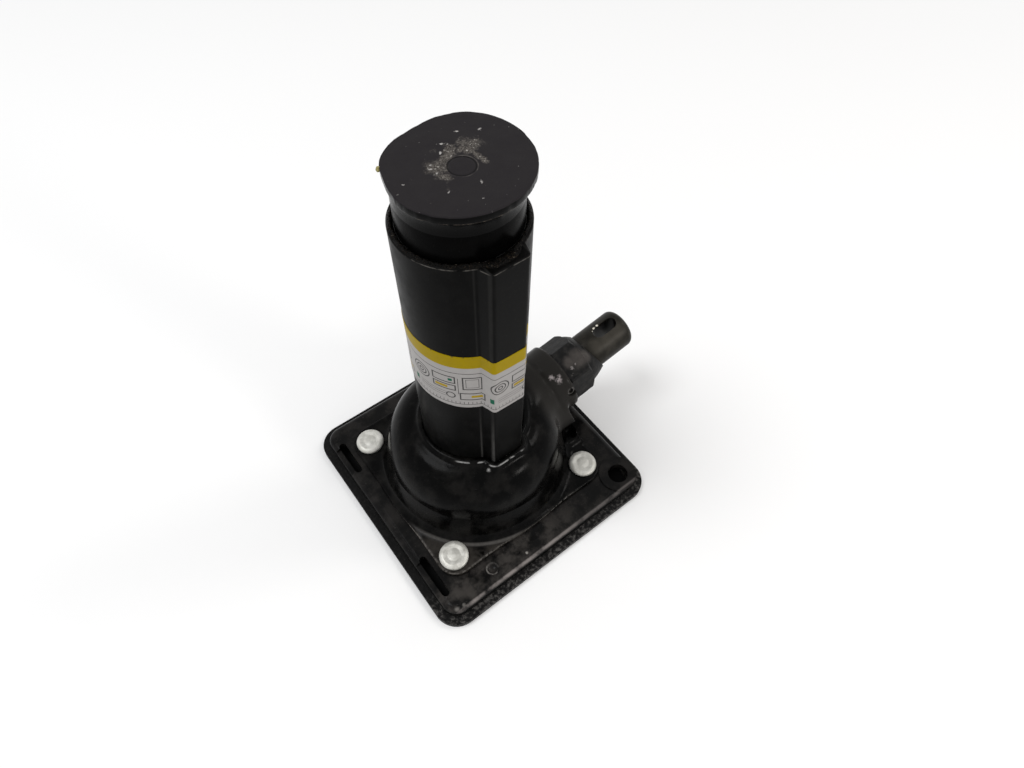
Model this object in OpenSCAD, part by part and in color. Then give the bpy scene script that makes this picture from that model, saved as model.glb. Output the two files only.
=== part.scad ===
// Bevel-gear screw jack of the kind carried in a vehicle's tool kit.
// The lift axis is +Z and the origin is where that axis meets the ground.
// The input shaft leaves towards +X and slopes upwards. All sizes are millimetres.

/* [Base plate] */
// Length of the base along the shaft's side
base_x = 120; // [116:1:140]
// Width of the base across the shaft
base_y = 121.4; // [116:0.2:140]
// How far the base's centre lies from the lift axis, towards the shaft
base_dx = 2; // [0:0.5:4]
// How far the base's centre lies from the lift axis, towards the keyway rib
base_dy = 1; // [0:0.5:4]
// Height of the pressed platform above the ground
platform_h = 9.2; // [8:0.1:12]
// Thickness of the base's steel sheet
sheet_t = 3; // [2.5:0.1:3.5]
// Width of the turned-out lip along the ground
lip_w = 3.7; // [3:0.1:6]
// Corner radius of the lip
base_corner_r = 11; // [9:0.5:14]
// Diameter of the fixing hole in one corner
corner_hole_d = 9.6; // [8:0.2:9.6]

/* [Gear housing] */
// Outer radius of the housing's bell
bell_r = 40; // [39:0.5:41]
// Radius of the bell's wall at its foot, from where it leans in
bell_base_r = 42.5; // [41.5:0.5:42.5]
// Height at which the bell's wall ends and its dome starts
bell_wall_h = 28; // [27:0.5:30]
// Height of the bell's top, where it meets the neck
bell_top_h = 48; // [47.5:0.1:49]
// Spacing of the base rivets along the shaft
rivet_x = 76; // [75:0.5:77]
// Spacing of the base rivets across the shaft
rivet_y = 72.6; // [72:0.2:74]
// Diameter of the rivet heads
rivet_head_d = 14; // [12:0.5:15]

/* [Column] */
// Height of the outer tube's rim above the ground
rim_h = 164.6; // [164:0.1:166]
// Outer radius of the outer tube
tube_r = 22.4; // [22.3:0.05:23]
// Outer radius of the lifting ram
ram_r = 20; // [19.8:0.05:20.1]
// Height of the head's top with the jack closed
closed_h = 184.5; // [184:0.5:188]
// Radius of the head disc
head_r = 22.8; // [21:0.1:25]
// Travel of the ram
lift = 85; // [40:1:85]

/* [Drive] */
// Upward slope of the input shaft, in degrees
shaft_tilt = 10.6; // [10.4:0.1:10.8]
// Radius of the input shaft
shaft_r = 9.75; // [9.6:0.01:9.78]
// Distance from the lift axis to the shaft's tip, along the shaft
shaft_end = 92; // [90:1:100]
// Teeth of the bevel pinion
pinion_teeth = 9; // [9:1:9]
// Teeth of the bevel gear
gear_teeth = 22; // [22:1:22]
// Module of the bevel teeth at their outer end
tooth_module = 2; // [1.95:0.01:2]
// Width across the flats of the gland nut
gland_af = 27.2; // [27:0.1:28]

/* [Hidden] */
$fn = 96;
through = 200;

// Colours
paint_black = [0.06, 0.06, 0.065];
dark_metal = [0.16, 0.14, 0.12];
bright_zinc = [0.78, 0.78, 0.76];
bare_steel = [0.55, 0.55, 0.56];
bearing_steel = [0.7, 0.7, 0.72];
bronze = [0.66, 0.48, 0.25];
seal_rubber = [0.09, 0.09, 0.09];
label_paper = [0.85, 0.85, 0.83];

// Base plate: the wall stands inside the lip, and a well in the middle stands on the ground.
bend_r = 3.5;
wall_x = base_x - 2 * lip_w;
wall_y = base_y - 2 * lip_w;
wall_corner_r = base_corner_r - lip_w;
platform_foot = platform_h - sheet_t;
well_r = 27;
corner_hole = [49.3, -49.9];
corner_boss_r = 9.2;
corner_boss_h = 0.7;
inner_bend = 0.3;
dimple = [-27.2, -50.6];
dimple_r = 3.6;
dimple_depth = 1.2;
slot_w = 3.3;
slot_x = -49.9;
slot_spans = [[26.5, 45.5], [-48.5, -27]];
strip_drop = 1.8;

// Rivets through base and housing
rivet_r = 4;
rivet_head_h = 2.3;
rivet_foot_r = 6.2;
rivet_foot_h = 2.6;
rivet_spots = [for (x = [-1, 1], y = [-1, 1]) [x * rivet_x / 2, y * rivet_y / 2]];

// Gear housing
flange_x = 92;
flange_y = 90.6;
flange_t = 2.5;
flange_corner_r = 9;
flange_top = platform_h + flange_t;
bell_foot_r = 3;
bell_foot_turn = 75;
shell_t = 3.5;
neck_wall = 2.2;
neck_r = tube_r + neck_wall;
neck_top = 50;
boss_r = 16.5;
boss_end = 50;
skirt_x = 45.6;
skirt_foot_half = 25.5;
skirt_top_half = 22;
skirt_top = 28;
niche_x = 39.5;
niche_w = 9;
niche_foot = 15;
niche_top = 27;
niche_face = 18.5;
niche_round = 2;

// Outer tube with its keyway rib
tube_bore_r = 20.8;
tube_foot = 44;
rib_face = 25.7;
rib_half = 7.6;
rib_foot_half = 8.9;
rib_x = 0.3;
rib_round = 1.8;
channel_half = 5.75;
channel_face = 23.9;
ring_foot = 159.8;
wiper_foot = 162;
wiper_drop = 0.6;
slide_gap = 0.06;

// Label: it starts at the first angle and runs round the rib's side to the second
label_foot = 91;
label_top = 122.5;
label_t = 0.2;
label_start = -47;
label_finish = -240;

// Drive axis, measured from where it crosses the lift axis
apex_h = 27.8;
bore_r = 12.5;
gear_room_r = 14.4;
gear_room = [12, 34];
journal_start = 32.5;
journal_end = 73.4;
journal_drop = 0.2;
lathe_start = 53;
stub_start = 15.5;
stub_r = 4.5;
washer_end = 34;
bush_end = 44;
bush_gap = 0.05;
clip_at = 44.2;
clip_t = 1.2;
clip_groove_r = 8.75;
spigot_start = 45.6;
gland_hex_end = 62.5;
gland_nose_r = 12.9;
gland_nose_end = 73;
gland_cone_start = 63.2;
gland_lip = 0.6;
gland_gap = 0.1;
gland_turn = 52;
gland_cut_tilt = 17.6;
gland_cut_at = 69.3;
gland_screw_at = 47.9;
gland_screw_turn = 246;
gland_screw_r = 2.15;
gland_screw_out = 15.4;
slot_from = 74.5;
slot_to = 87.5;
slot_half = 3;
tip_round = 2.6;

// Bevel gears on the drive axis and the lift axis
shaft_angle = 90 + shaft_tilt;
pinion_cone = atan(sin(shaft_angle) / (gear_teeth / pinion_teeth + cos(shaft_angle)));
gear_cone = shaft_angle - pinion_cone;
pinion_pitch_r = tooth_module * pinion_teeth / 2;
gear_pitch_r = tooth_module * gear_teeth / 2;
cone_len = pinion_pitch_r / sin(pinion_cone);
face_w = 6.5;
pressure = 20;
shift = 0.4;
flank_play = 0.16;
flank_steps = 4;
pinion_flange = [23, 32.5];
pinion_flange_r = 11.8;
pinion_core_r = 7;
pinion_pin_at = 29.5;
pinion_pin_r = 2;

// Screw stack, from the ground up
race_lower_top = 6.7;
race_r = 20;
race_bore_gap = 0.4;
ball_h = 8.2;
race_upper_foot = 9.7;
race_upper_top = 13.4;
ball_track_r = 15;
ball_r = 2.95;
groove_r = 3.05;
ball_count = 12;
cage = [10.5, 19.4];
cage_h = [7.6, 8.8];
cage_hole_r = 3.2;
journal_r = 8;
journal_foot = 4;
gear_disc_r = 21;
gear_disc_top = 19.6;
gear_seat = 20;
collar_r = 12.5;
collar_top = 24;
gear_key_x = [5.8, 10.4];
gear_key_half = 2;
gear_key_h = [14, 19.4];
screw_r = 10.95;
screw_neck_r = 6;
nut_top = 74;
stop_foot = nut_top + lift + 0.8;
screw_top = stop_foot + 5.2;
stop_t = 2.4;
stop_r = 14.5;
stop_clip_t = 1.2;
stop_clip_r = 9;
stop_groove_r = 5;

// Ram
ram_foot = 46;
ram_bore_r = 16.8;
thread_gap = 0.06;
head_t = 3;
head_foot = closed_h - head_t;
flare_r = 22.2;
flare_h = 7;
flare_foot = head_foot - flare_h;
spigot_foot = 168;
head_flat = 20.2;
head_flat_turn = 98;
head_shift = 1.7;
head_shift_turn = -30;
head_rivet_r = 4;
nut_pin_r = 2.5;
nut_pin_h = 54;
nut_pin_span = [12.6, 19.9];
key_half = 5.4;
key_out = 23.5;
key_h = [56, 73];

// ---- shared shapes -------------------------------------------------------

// Places children on the drive axis: local +Z leaves along the shaft, local +X points down.
module on_shaft(at = 0) {
    translate([0, 0, apex_h]) rotate([0, 90 - shaft_tilt, 0]) translate([0, 0, at]) children();
}

// Tube or disc between two heights, with a bore.
module ring(outer, inner, from, to) {
    translate([0, 0, from]) difference() {
        cylinder(r = outer, h = to - from);
        translate([0, 0, -1]) cylinder(r = inner, h = to - from + 2);
    }
}

// Flat plate with round corners.
module round_plate(x, y, r, from, to) {
    translate([0, 0, from]) {
        translate([-x / 2 + r, -y / 2, 0]) cube([x - 2 * r, y, to - from]);
        translate([-x / 2, -y / 2 + r, 0]) cube([x, y - 2 * r, to - from]);
        for (sx = [-1, 1], sy = [-1, 1]) {
            translate([sx * (x / 2 - r), sy * (y / 2 - r), 0]) cylinder(r = r, h = to - from);
        }
    }
}

// Block with round corners whose top edge rolls over by bend.
module rolled_block(x, y, r, top, bend) {
    hull() for (sx = [-1, 1], sy = [-1, 1]) translate([sx * (x / 2 - r), sy * (y / 2 - r), 0]) {
        rotate_extrude($fn = 48) polygon(concat([[0, top], [0, 0], [r, 0]],
            [for (a = [0:15:90]) [r - bend + bend * cos(a), top - bend + bend * sin(a)]]));
    }
}

// Outline of the guide tube with its keyway rib on the -Y side, grown by extra.
module tube_outline(extra) {
    circle(r = tube_r + extra);
    round = rib_round + extra;
    half = rib_half + extra - round;
    face = rib_face + extra - round;
    translate([rib_x, 0]) polygon(concat(
        [[-half - round, 0], [-rib_foot_half - extra, -tube_r * 0.9]],
        [for (a = [180:15:270]) [-half + round * cos(a), -face + round * sin(a)]],
        [for (a = [270:15:360]) [half + round * cos(a), -face + round * sin(a)]],
        [[rib_foot_half + extra, -tube_r * 0.9], [half + round, 0]]));
}

// ---- base ----------------------------------------------------------------

// Pressed tray: platform, upright wall and turned-out lip.
module base_tray() {
    translate([base_dx, -base_dy, 0]) difference() {
        union() {
            round_plate(base_x, base_y, base_corner_r, 0, sheet_t);
            rolled_block(wall_x, wall_y, wall_corner_r, platform_h, bend_r);
        }
        translate([0, 0, -1]) rolled_block(wall_x - 2 * sheet_t, wall_y - 2 * sheet_t,
            wall_corner_r - sheet_t + 1, platform_foot + 1, inner_bend);
    }
}

// Slot near the edge opposite the shaft; the strip outside it is pressed below the platform.
module edge_slot(from, to) {
    half = slot_w / 2;
    run = to - from - slot_w;
    for (y = [from + half, to - half]) translate([slot_x, y, sheet_t]) cylinder(r = half, h = through);
    translate([slot_x - half, from + half, sheet_t]) cube([slot_w, run, through]);
    translate([slot_x - 10, from + half, platform_h - strip_drop]) cube([10, run, through]);
}

module base_plate() {
    color(paint_black) difference() {
        union() {
            base_tray();
            cylinder(r = well_r + sheet_t, h = platform_h);
            intersection() {
                translate([corner_hole[0], corner_hole[1], platform_foot])
                    cylinder(r = corner_boss_r, h = sheet_t + corner_boss_h);
                translate([base_dx, -base_dy, 0])
                    round_plate(wall_x - 0.4, wall_y - 0.4, wall_corner_r, 0, through);
            }
        }
        translate([0, 0, sheet_t]) cylinder(r = well_r, h = platform_h);
        translate([corner_hole[0], corner_hole[1], -1]) cylinder(d = corner_hole_d, h = through);
        for (p = rivet_spots) translate([p[0], p[1], -1]) cylinder(r = rivet_r, h = through);
        translate([dimple[0], dimple[1], platform_h + dimple_r - dimple_depth]) sphere(r = dimple_r);
        for (s = slot_spans) edge_slot(s[0], s[1]);
    }
}

module base_rivets() {
    head_edge = rivet_head_d / 2;
    color(bright_zinc) for (p = rivet_spots) translate([p[0], p[1], 0]) rotate_extrude() polygon([
        [0, platform_foot - rivet_foot_h], [rivet_foot_r, platform_foot - rivet_foot_h],
        [rivet_foot_r, platform_foot], [rivet_r, platform_foot], [rivet_r, flange_top],
        [head_edge, flange_top], [head_edge, flange_top + 0.5 * rivet_head_h],
        [head_edge - 0.5, flange_top + 0.8 * rivet_head_h],
        [head_edge - 1.7, flange_top + rivet_head_h], [0, flange_top + rivet_head_h]]);
}

// ---- gear housing --------------------------------------------------------

// Upright wall and rounded shoulder of the bell; inset moves it in and down by the shell.
function bell_shoulder(inset) = [for (a = [0:10:90])
    [bell_r - inset - (bell_r - neck_r - 0.5) * (1 - cos(a)),
    bell_wall_h - inset + (bell_top_h - bell_wall_h) * sin(a)]];

module bell_outside() {
    rotate_extrude() polygon(concat([[0, platform_h + 0.5], [bell_base_r + bell_foot_r, platform_h + 0.5]],
        [for (a = [0:15:bell_foot_turn])
            [bell_base_r + bell_foot_r * (1 - sin(a)), flange_top + bell_foot_r * (1 - cos(a))]],
        bell_shoulder(0), [[0, bell_top_h]]));
}

module bell_inside() {
    rotate_extrude() polygon(concat([[0, platform_h - 1], [bell_r - shell_t, platform_h - 1]],
        bell_shoulder(shell_t), [[0, bell_top_h - shell_t]]));
}

// Neck that grips the foot of the guide tube and its rib.
module neck() {
    translate([0, 0, tube_foot - 3]) linear_extrude(neck_top - tube_foot + 3) tube_outline(neck_wall);
}

// Web under the shaft boss, down to the flange's edge.
module boss_skirt() {
    hull() {
        on_shaft(28) cylinder(r = boss_r - 0.4, h = 16, $fn = 32);
        translate([24, -skirt_foot_half, flange_top - 1]) cube([skirt_x - 24, 2 * skirt_foot_half, 1]);
        translate([24, -skirt_top_half, flange_top])
            cube([skirt_x - 26, 2 * skirt_top_half, skirt_top - flange_top]);
    }
}

// Niche in each flank of the skirt, beside the rivets.
module skirt_niche() {
    half = niche_w / 2 - niche_round;
    mid = (niche_foot + niche_top) / 2;
    rise = (niche_top - niche_foot) / 2 - niche_round;
    for (side = [0, 1]) mirror([0, side, 0]) translate([niche_x, -niche_face, mid]) {
        rotate([90, 0, 0]) linear_extrude(20) polygon([for (q = [0:3], a = [0:15:90])
            [half * (q == 0 || q == 3 ? 1 : -1) + niche_round * cos(90 * q + a),
            rise * (q < 2 ? 1 : -1) + niche_round * sin(90 * q + a)]]);
    }
}

module gear_housing() {
    color(paint_black) difference() {
        union() {
            round_plate(flange_x, flange_y, flange_corner_r, platform_h, flange_top);
            bell_outside();
            neck();
            on_shaft(18) cylinder(r = boss_r, h = boss_end - 18);
            boss_skirt();
        }
        bell_inside();
        translate([0, 0, tube_foot]) linear_extrude(through) tube_outline(0);
        translate([0, 0, 30]) cylinder(r = tube_bore_r, h = through);
        on_shaft(gear_room[0]) cylinder(r = gear_room_r, h = gear_room[1] - gear_room[0]);
        on_shaft(gear_room[0]) cylinder(r = bore_r, h = boss_end);
        for (p = rivet_spots) translate([p[0], p[1], platform_h - 1]) cylinder(r = rivet_r, h = through);
        skirt_niche();
        on_gland_screw(bore_r - 1) cylinder(r = gland_screw_r + 0.1, h = 20);
    }
}

// Axis of the screw that locks the gland nut; local +Z points away from the shaft.
module on_gland_screw(at) {
    on_shaft(gland_screw_at) rotate([0, 0, gland_screw_turn]) rotate([0, 90, 0]) translate([0, 0, at]) {
        children();
    }
}

// ---- column --------------------------------------------------------------

module outer_tube() {
    color(paint_black) difference() {
        translate([0, 0, tube_foot]) linear_extrude(rim_h - tube_foot) tube_outline(0);
        translate([0, 0, tube_foot - 1]) cylinder(r = tube_bore_r, h = rim_h);
        translate([rib_x - channel_half, -channel_face, tube_foot - 1])
            cube([2 * channel_half, channel_face, ring_foot - tube_foot + 1]);
    }
}

// Printed band round the tube and its rib; the gap is on the side of the shaft.
module label_band() {
    reach = 60;
    gap_mid = (label_start + label_finish + 360) / 2;
    color(label_paper) translate([0, 0, label_foot]) linear_extrude(label_top - label_foot) difference() {
        tube_outline(label_t);
        tube_outline(0);
        polygon([[0, 0], [reach * cos(label_start), reach * sin(label_start)],
            [reach * cos(gap_mid - 40), reach * sin(gap_mid - 40)],
            [reach * cos(gap_mid + 40), reach * sin(gap_mid + 40)],
            [reach * cos(label_finish), reach * sin(label_finish)]]);
    }
}

module guide_ring() {
    color(bronze) ring(tube_bore_r, ram_r + slide_gap, ring_foot, wiper_foot);
}

module wiper_ring() {
    color(seal_rubber) ring(tube_bore_r, ram_r + slide_gap, wiper_foot, rim_h - wiper_drop);
}

// ---- drive shaft ---------------------------------------------------------

module input_shaft() {
    color(dark_metal) on_shaft() difference() {
        rotate([0, 0, lathe_start]) rotate_extrude() polygon(concat([[0, stub_start],
            [stub_r, stub_start], [stub_r, journal_start],
            [shaft_r - journal_drop, journal_start], [shaft_r - journal_drop, clip_at],
            [clip_groove_r, clip_at], [clip_groove_r, clip_at + clip_t],
            [shaft_r - journal_drop, clip_at + clip_t], [shaft_r - journal_drop, journal_end],
            [shaft_r, journal_end]],
            [for (a = [0:15:90]) [shaft_r - tip_round * (1 - cos(a)), shaft_end - tip_round * (1 - sin(a))]],
            [[0, shaft_end]]));
        for (s = [slot_from + slot_half, slot_to - slot_half]) translate([-shaft_r - 1, 0, s])
            rotate([0, 90, 0]) cylinder(r = slot_half, h = 2 * shaft_r + 2);
        translate([-shaft_r - 1, -slot_half, slot_from + slot_half])
            cube([2 * shaft_r + 2, 2 * slot_half, slot_to - slot_from - 2 * slot_half]);
        translate([-through / 2, 0, pinion_pin_at]) rotate([0, 90, 0])
            cylinder(r = pinion_pin_r, h = through);
    }
}

module pinion_pin() {
    color(bearing_steel) on_shaft(pinion_pin_at) translate([-pinion_flange_r + 0.3, 0, 0])
        rotate([0, 90, 0]) cylinder(r = pinion_pin_r, h = 2 * pinion_flange_r - 0.6);
}

module pinion_washer() {
    color(bronze) on_shaft() ring(bore_r - 0.2, shaft_r + gland_gap, journal_start, washer_end);
}

module pinion_bush() {
    color(bronze) on_shaft() ring(bore_r, shaft_r - journal_drop + bush_gap, washer_end, bush_end);
}

module shaft_clip() {
    color(bearing_steel) on_shaft() ring(bore_r - 0.4, clip_groove_r, clip_at, clip_at + clip_t);
}

// Hexagonal nut with a round nose that ends on the slant.
module gland_nut() {
    corner_r = gland_af / 2 / cos(30);
    color(dark_metal) on_shaft() difference() {
        union() {
            translate([0, 0, spigot_start]) cylinder(r = bore_r, h = boss_end - spigot_start);
            intersection() {
                translate([0, 0, boss_end]) rotate([0, 0, gland_turn])
                    cylinder(r = corner_r, h = gland_hex_end - boss_end, $fn = 6);
                rotate_extrude() polygon([[0, boss_end], [corner_r - 0.9, boss_end],
                    [corner_r, boss_end + 1], [corner_r, gland_hex_end - 2.6],
                    [gland_nose_r + 0.4, gland_hex_end], [0, gland_hex_end]]);
            }
            rotate_extrude() polygon([[0, gland_hex_end - 0.5], [gland_nose_r, gland_hex_end - 0.5],
                [gland_nose_r, gland_cone_start], [shaft_r + gland_lip, gland_nose_end], [0, gland_nose_end]]);
        }
        cylinder(r = shaft_r + gland_gap, h = through);
        translate([0, 0, gland_cut_at]) rotate([0, -gland_cut_tilt, 0]) translate([-40, -40, 0])
            cube([80, 80, 40]);
    }
}

module gland_screw() {
    color(bare_steel) on_gland_screw(bore_r) cylinder(r = gland_screw_r, h = gland_screw_out - bore_r);
}

// ---- bevel gears ---------------------------------------------------------

// Involute function, in degrees.
function inv(a) = tan(a) * 180 / PI - a;

// Half the angle that a tooth fills, at distance rho from the back cone's tip.
function half_tooth(rho, rv, thick) = thick / 2 / rv * 180 / PI + inv(pressure)
    - inv(acos(min(1, rv * cos(pressure) / rho)));

// One tooth's outline at the outer end: up one flank and down the other.
// A point lies on the back cone, and its angle about the gear's axis keeps the arc's length.
function tooth_points(mid, pitch, cone, add, ded, thick) =
    let (rv = pitch / cos(cone), tip_h = cone_len / cos(cone))
    [for (side = [-1, 1], k = [0:flank_steps])
        let (step = side < 0 ? k : flank_steps - k,
            rho = rv - ded + (add + ded) * step / flank_steps,
            turn = mid + side * half_tooth(rho, rv, thick) / cos(cone),
            r = rho * cos(cone))
        [r * cos(turn), r * sin(turn), tip_h - rho * sin(cone)]];

// Crown of bevel teeth with its cone's apex at the origin, opening along +Z.
module bevel_crown(teeth, pitch, cone, shift_by, turn, back, front) {
    add = tooth_module * (1 + shift_by);
    ded = tooth_module * (1.2 - shift_by);
    thick = tooth_module * (PI / 2 + 2 * shift_by * tan(pressure)) - flank_play;
    outer = [for (i = [0:teeth - 1]) each tooth_points(turn + i * 360 / teeth, pitch, cone, add, ded, thick)];
    inner_scale = (cone_len - face_w) / cone_len;
    n = len(outer);
    points = concat(outer, outer * inner_scale, [[0, 0, back], [0, 0, front]]);
    polyhedron(points, concat(
        [for (i = [0:n - 1]) [i, (i + 1) % n, n + i]],
        [for (i = [0:n - 1]) [(i + 1) % n, n + (i + 1) % n, n + i]],
        [for (i = [0:n - 1]) [2 * n, (i + 1) % n, i]],
        [for (i = [0:n - 1]) [2 * n + 1, n + i, n + (i + 1) % n]]));
}

// Crown gear on the screw: half a tooth out of line with the pinion, so that a gap faces it.
module bevel_gear() {
    color(bare_steel) difference() {
        union() {
            translate([0, 0, apex_h]) rotate([180, 0, 0])
                bevel_crown(gear_teeth, gear_pitch_r, gear_cone, -shift, 180 / gear_teeth, 10, 7);
            translate([0, 0, race_upper_top]) cylinder(r = gear_disc_r, h = gear_disc_top - race_upper_top);
        }
        cylinder(r = journal_r, h = through);
        translate([0, 0, gear_seat]) cylinder(r = collar_r + 0.5, h = through);
        gear_key_block(0);
    }
}

module bevel_pinion() {
    root_h = cone_len * cos(pinion_cone) + 1.2;
    color(bare_steel) on_shaft() difference() {
        union() {
            bevel_crown(pinion_teeth, pinion_pitch_r, pinion_cone, shift, 0, root_h + 0.6, stub_start + 0.4);
            translate([0, 0, root_h - 1]) cylinder(r = pinion_core_r, h = pinion_flange[0] - root_h + 1.2);
            translate([0, 0, pinion_flange[0]])
                cylinder(r = pinion_flange_r, h = pinion_flange[1] - pinion_flange[0]);
        }
        cylinder(r = stub_r, h = through);
        translate([-through / 2, 0, pinion_pin_at]) rotate([0, 90, 0])
            cylinder(r = pinion_pin_r, h = through);
    }
}

// ---- screw and its bearing -----------------------------------------------

module gear_key_block(play) {
    translate([gear_key_x[0], -gear_key_half - play, gear_key_h[0]])
        cube([gear_key_x[1] - gear_key_x[0], 2 * (gear_key_half + play), gear_key_h[1] - gear_key_h[0]]);
}

module gear_key() {
    color(bearing_steel) gear_key_block(0);
}

module ball_groove() {
    translate([0, 0, ball_h]) rotate_extrude() translate([ball_track_r, 0]) circle(r = groove_r, $fn = 48);
}

module thrust_race_lower() {
    color(bearing_steel) difference() {
        ring(race_r, journal_r + race_bore_gap, sheet_t, race_lower_top);
        ball_groove();
    }
}

module thrust_race_upper() {
    color(bearing_steel) difference() {
        ring(race_r, journal_r, race_upper_foot, race_upper_top);
        ball_groove();
    }
}

// Places children at every ball of the thrust bearing.
module each_ball() {
    for (i = [0:ball_count - 1]) rotate([0, 0, i * 360 / ball_count]) translate([ball_track_r, 0, ball_h]) {
        children();
    }
}

module thrust_balls() {
    color(bearing_steel) each_ball() sphere(r = ball_r);
}

module ball_cage() {
    color(bronze) difference() {
        ring(cage[1], cage[0], cage_h[0], cage_h[1]);
        each_ball() translate([0, 0, -5]) cylinder(r = cage_hole_r, h = 10);
    }
}

module main_screw() {
    clip_foot = stop_foot + stop_t;
    color(bare_steel) difference() {
        rotate_extrude() polygon([[0, journal_foot], [journal_r - 0.6, journal_foot],
            [journal_r, journal_foot + 0.6], [journal_r, gear_seat], [collar_r, gear_seat],
            [collar_r, collar_top - 0.8], [collar_r - 0.8, collar_top], [screw_r, collar_top],
            [screw_r, stop_foot], [screw_neck_r, stop_foot], [screw_neck_r, clip_foot],
            [stop_groove_r, clip_foot], [stop_groove_r, clip_foot + stop_clip_t],
            [screw_neck_r, clip_foot + stop_clip_t], [screw_neck_r, screw_top - 0.6],
            [screw_neck_r - 0.6, screw_top], [0, screw_top]]);
        gear_key_block(0);
    }
}

module stop_washer() {
    color(bare_steel) ring(stop_r, screw_neck_r, stop_foot, stop_foot + stop_t);
}

module stop_clip() {
    clip_foot = stop_foot + stop_t;
    color(bearing_steel) ring(stop_clip_r, stop_groove_r, clip_foot, clip_foot + stop_clip_t);
}

// ---- ram -----------------------------------------------------------------

module nut_pin_pair() {
    for (turn = [0, 180]) rotate([0, 0, turn]) translate([nut_pin_span[0], 0, nut_pin_h]) {
        rotate([0, 90, 0]) cylinder(r = nut_pin_r, h = nut_pin_span[1] - nut_pin_span[0]);
    }
}

module key_block() {
    translate([rib_x - key_half, -key_out, key_h[0]])
        cube([2 * key_half, key_out - ram_bore_r, key_h[1] - key_h[0]]);
}

module ram_tube() {
    color(paint_black) difference() {
        ring(ram_r, ram_bore_r, ram_foot, flare_foot);
        for (turn = [0, 180]) rotate([0, 0, turn]) translate([10, 0, nut_pin_h])
            rotate([0, 90, 0]) cylinder(r = nut_pin_r, h = 20);
        translate([rib_x - key_half, -ram_r - 1, key_h[0]]) cube([2 * key_half, 10, key_h[1] - key_h[0]]);
    }
}

module nut_pins() {
    color(bearing_steel) nut_pin_pair();
}

module lift_nut() {
    color(bronze) difference() {
        ring(ram_bore_r, screw_r + thread_gap, ram_foot, nut_top);
        nut_pin_pair();
    }
}

module guide_key() {
    color(bare_steel) key_block();
}

// Disc head, hammered flat on one side, with a flared neck and a spigot inside the ram.
module ram_head() {
    flare = flare_r - ram_r;
    color(paint_black) difference() {
        intersection() {
            rotate_extrude() polygon(concat([[0, spigot_foot], [ram_bore_r, spigot_foot],
                [ram_bore_r, flare_foot]],
                [for (a = [0:15:90]) [ram_r + flare * (1 - cos(a)), flare_foot + flare_h * sin(a)]],
                [[head_r, head_foot], [head_r, closed_h - 0.6], [head_r - 0.6, closed_h], [0, closed_h]]));
            translate([head_shift * cos(head_shift_turn), head_shift * sin(head_shift_turn), 0])
                cylinder(r = head_r, h = closed_h + 1);
            rotate([0, 0, head_flat_turn]) translate([head_flat - 100, -50, 0])
                cube([100, 100, closed_h + 1]);
        }
        translate([0, 0, spigot_foot - 1]) cylinder(r = head_rivet_r, h = through);
    }
}

module head_rivet() {
    color(paint_black) translate([0, 0, spigot_foot])
        cylinder(r = head_rivet_r, h = closed_h - spigot_foot);
}

// ---- output --------------------------------------------------------------

base_plate();
base_rivets();
gear_housing();
outer_tube();
label_band();
guide_ring();
wiper_ring();
pinion_bush();
pinion_washer();
gland_nut();
gland_screw();
thrust_race_lower();
thrust_balls();
ball_cage();
thrust_race_upper();
main_screw();
bevel_gear();
gear_key();
stop_washer();
stop_clip();
ram_tube();
ram_head();
head_rivet();
lift_nut();
nut_pins();
guide_key();
input_shaft();
bevel_pinion();
pinion_pin();
shaft_clip();
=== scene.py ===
import math

import bmesh
import bpy
import numpy as np
from mathutils import Matrix


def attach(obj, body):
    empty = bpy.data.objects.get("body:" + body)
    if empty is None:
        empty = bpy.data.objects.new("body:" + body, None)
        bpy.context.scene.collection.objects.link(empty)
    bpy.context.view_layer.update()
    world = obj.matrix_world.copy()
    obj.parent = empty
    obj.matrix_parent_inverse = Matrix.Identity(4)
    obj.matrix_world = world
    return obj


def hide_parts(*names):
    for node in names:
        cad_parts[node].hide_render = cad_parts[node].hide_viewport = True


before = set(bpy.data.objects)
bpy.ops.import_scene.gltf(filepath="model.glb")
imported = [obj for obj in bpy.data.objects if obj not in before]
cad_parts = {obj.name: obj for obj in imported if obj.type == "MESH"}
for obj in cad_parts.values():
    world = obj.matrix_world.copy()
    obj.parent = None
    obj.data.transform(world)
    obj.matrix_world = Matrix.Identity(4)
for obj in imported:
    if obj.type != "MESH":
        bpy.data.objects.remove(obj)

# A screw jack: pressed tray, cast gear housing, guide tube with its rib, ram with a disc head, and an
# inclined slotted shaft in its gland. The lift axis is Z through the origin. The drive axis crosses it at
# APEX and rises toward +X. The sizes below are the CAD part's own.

bpy.context.view_layer.update()
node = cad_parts
MM = 0.001

# ---- sizes in millimetres --------------------------------------------------

TUBE_R, TUBE_BORE_R = 22.4, 20.8
TUBE_FOOT, RIM_H = 44.0, 164.6
RIB_X, RIB_FACE, RIB_ROUND = 0.3, 25.7, 1.8
RIB_HALF, RIB_FOOT_HALF, RIB_FOOT = 7.6, 8.9, 20.6
CHANNEL_HALF, CHANNEL_FACE, CHANNEL_TOP = 5.75, 23.9, 159.8
RAM_R, RAM_BORE_R, RAM_FOOT = 20.0, 16.8, 46.0
CLOSED_H, FLARE_FOOT, SPIGOT_FOOT = 184.5, 174.5, 168.0
PLATFORM_H, SHEET_T, FLANGE_TOP = 9.2, 3.0, 11.7
NECK_TOP, NECK_WALL = 50.0, 2.2
LABEL_FOOT, LABEL_TOP, LABEL_T = 91.0, 122.5, 0.2
DIMPLE = (-27.2, -50.6)
HEAD_RIVET = (-0.1, -2.8)
RIVETS = [(x, y) for x in (-38.0, 38.0) for y in (-36.3, 36.3)]
APEX = np.array([0.0, 0.0, 27.8])
TILT = math.radians(10.6)
DRIVE = np.array([math.cos(TILT), 0.0, math.sin(TILT)])
DRIVE_UP = np.array([-math.sin(TILT), 0.0, math.cos(TILT)])
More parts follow.
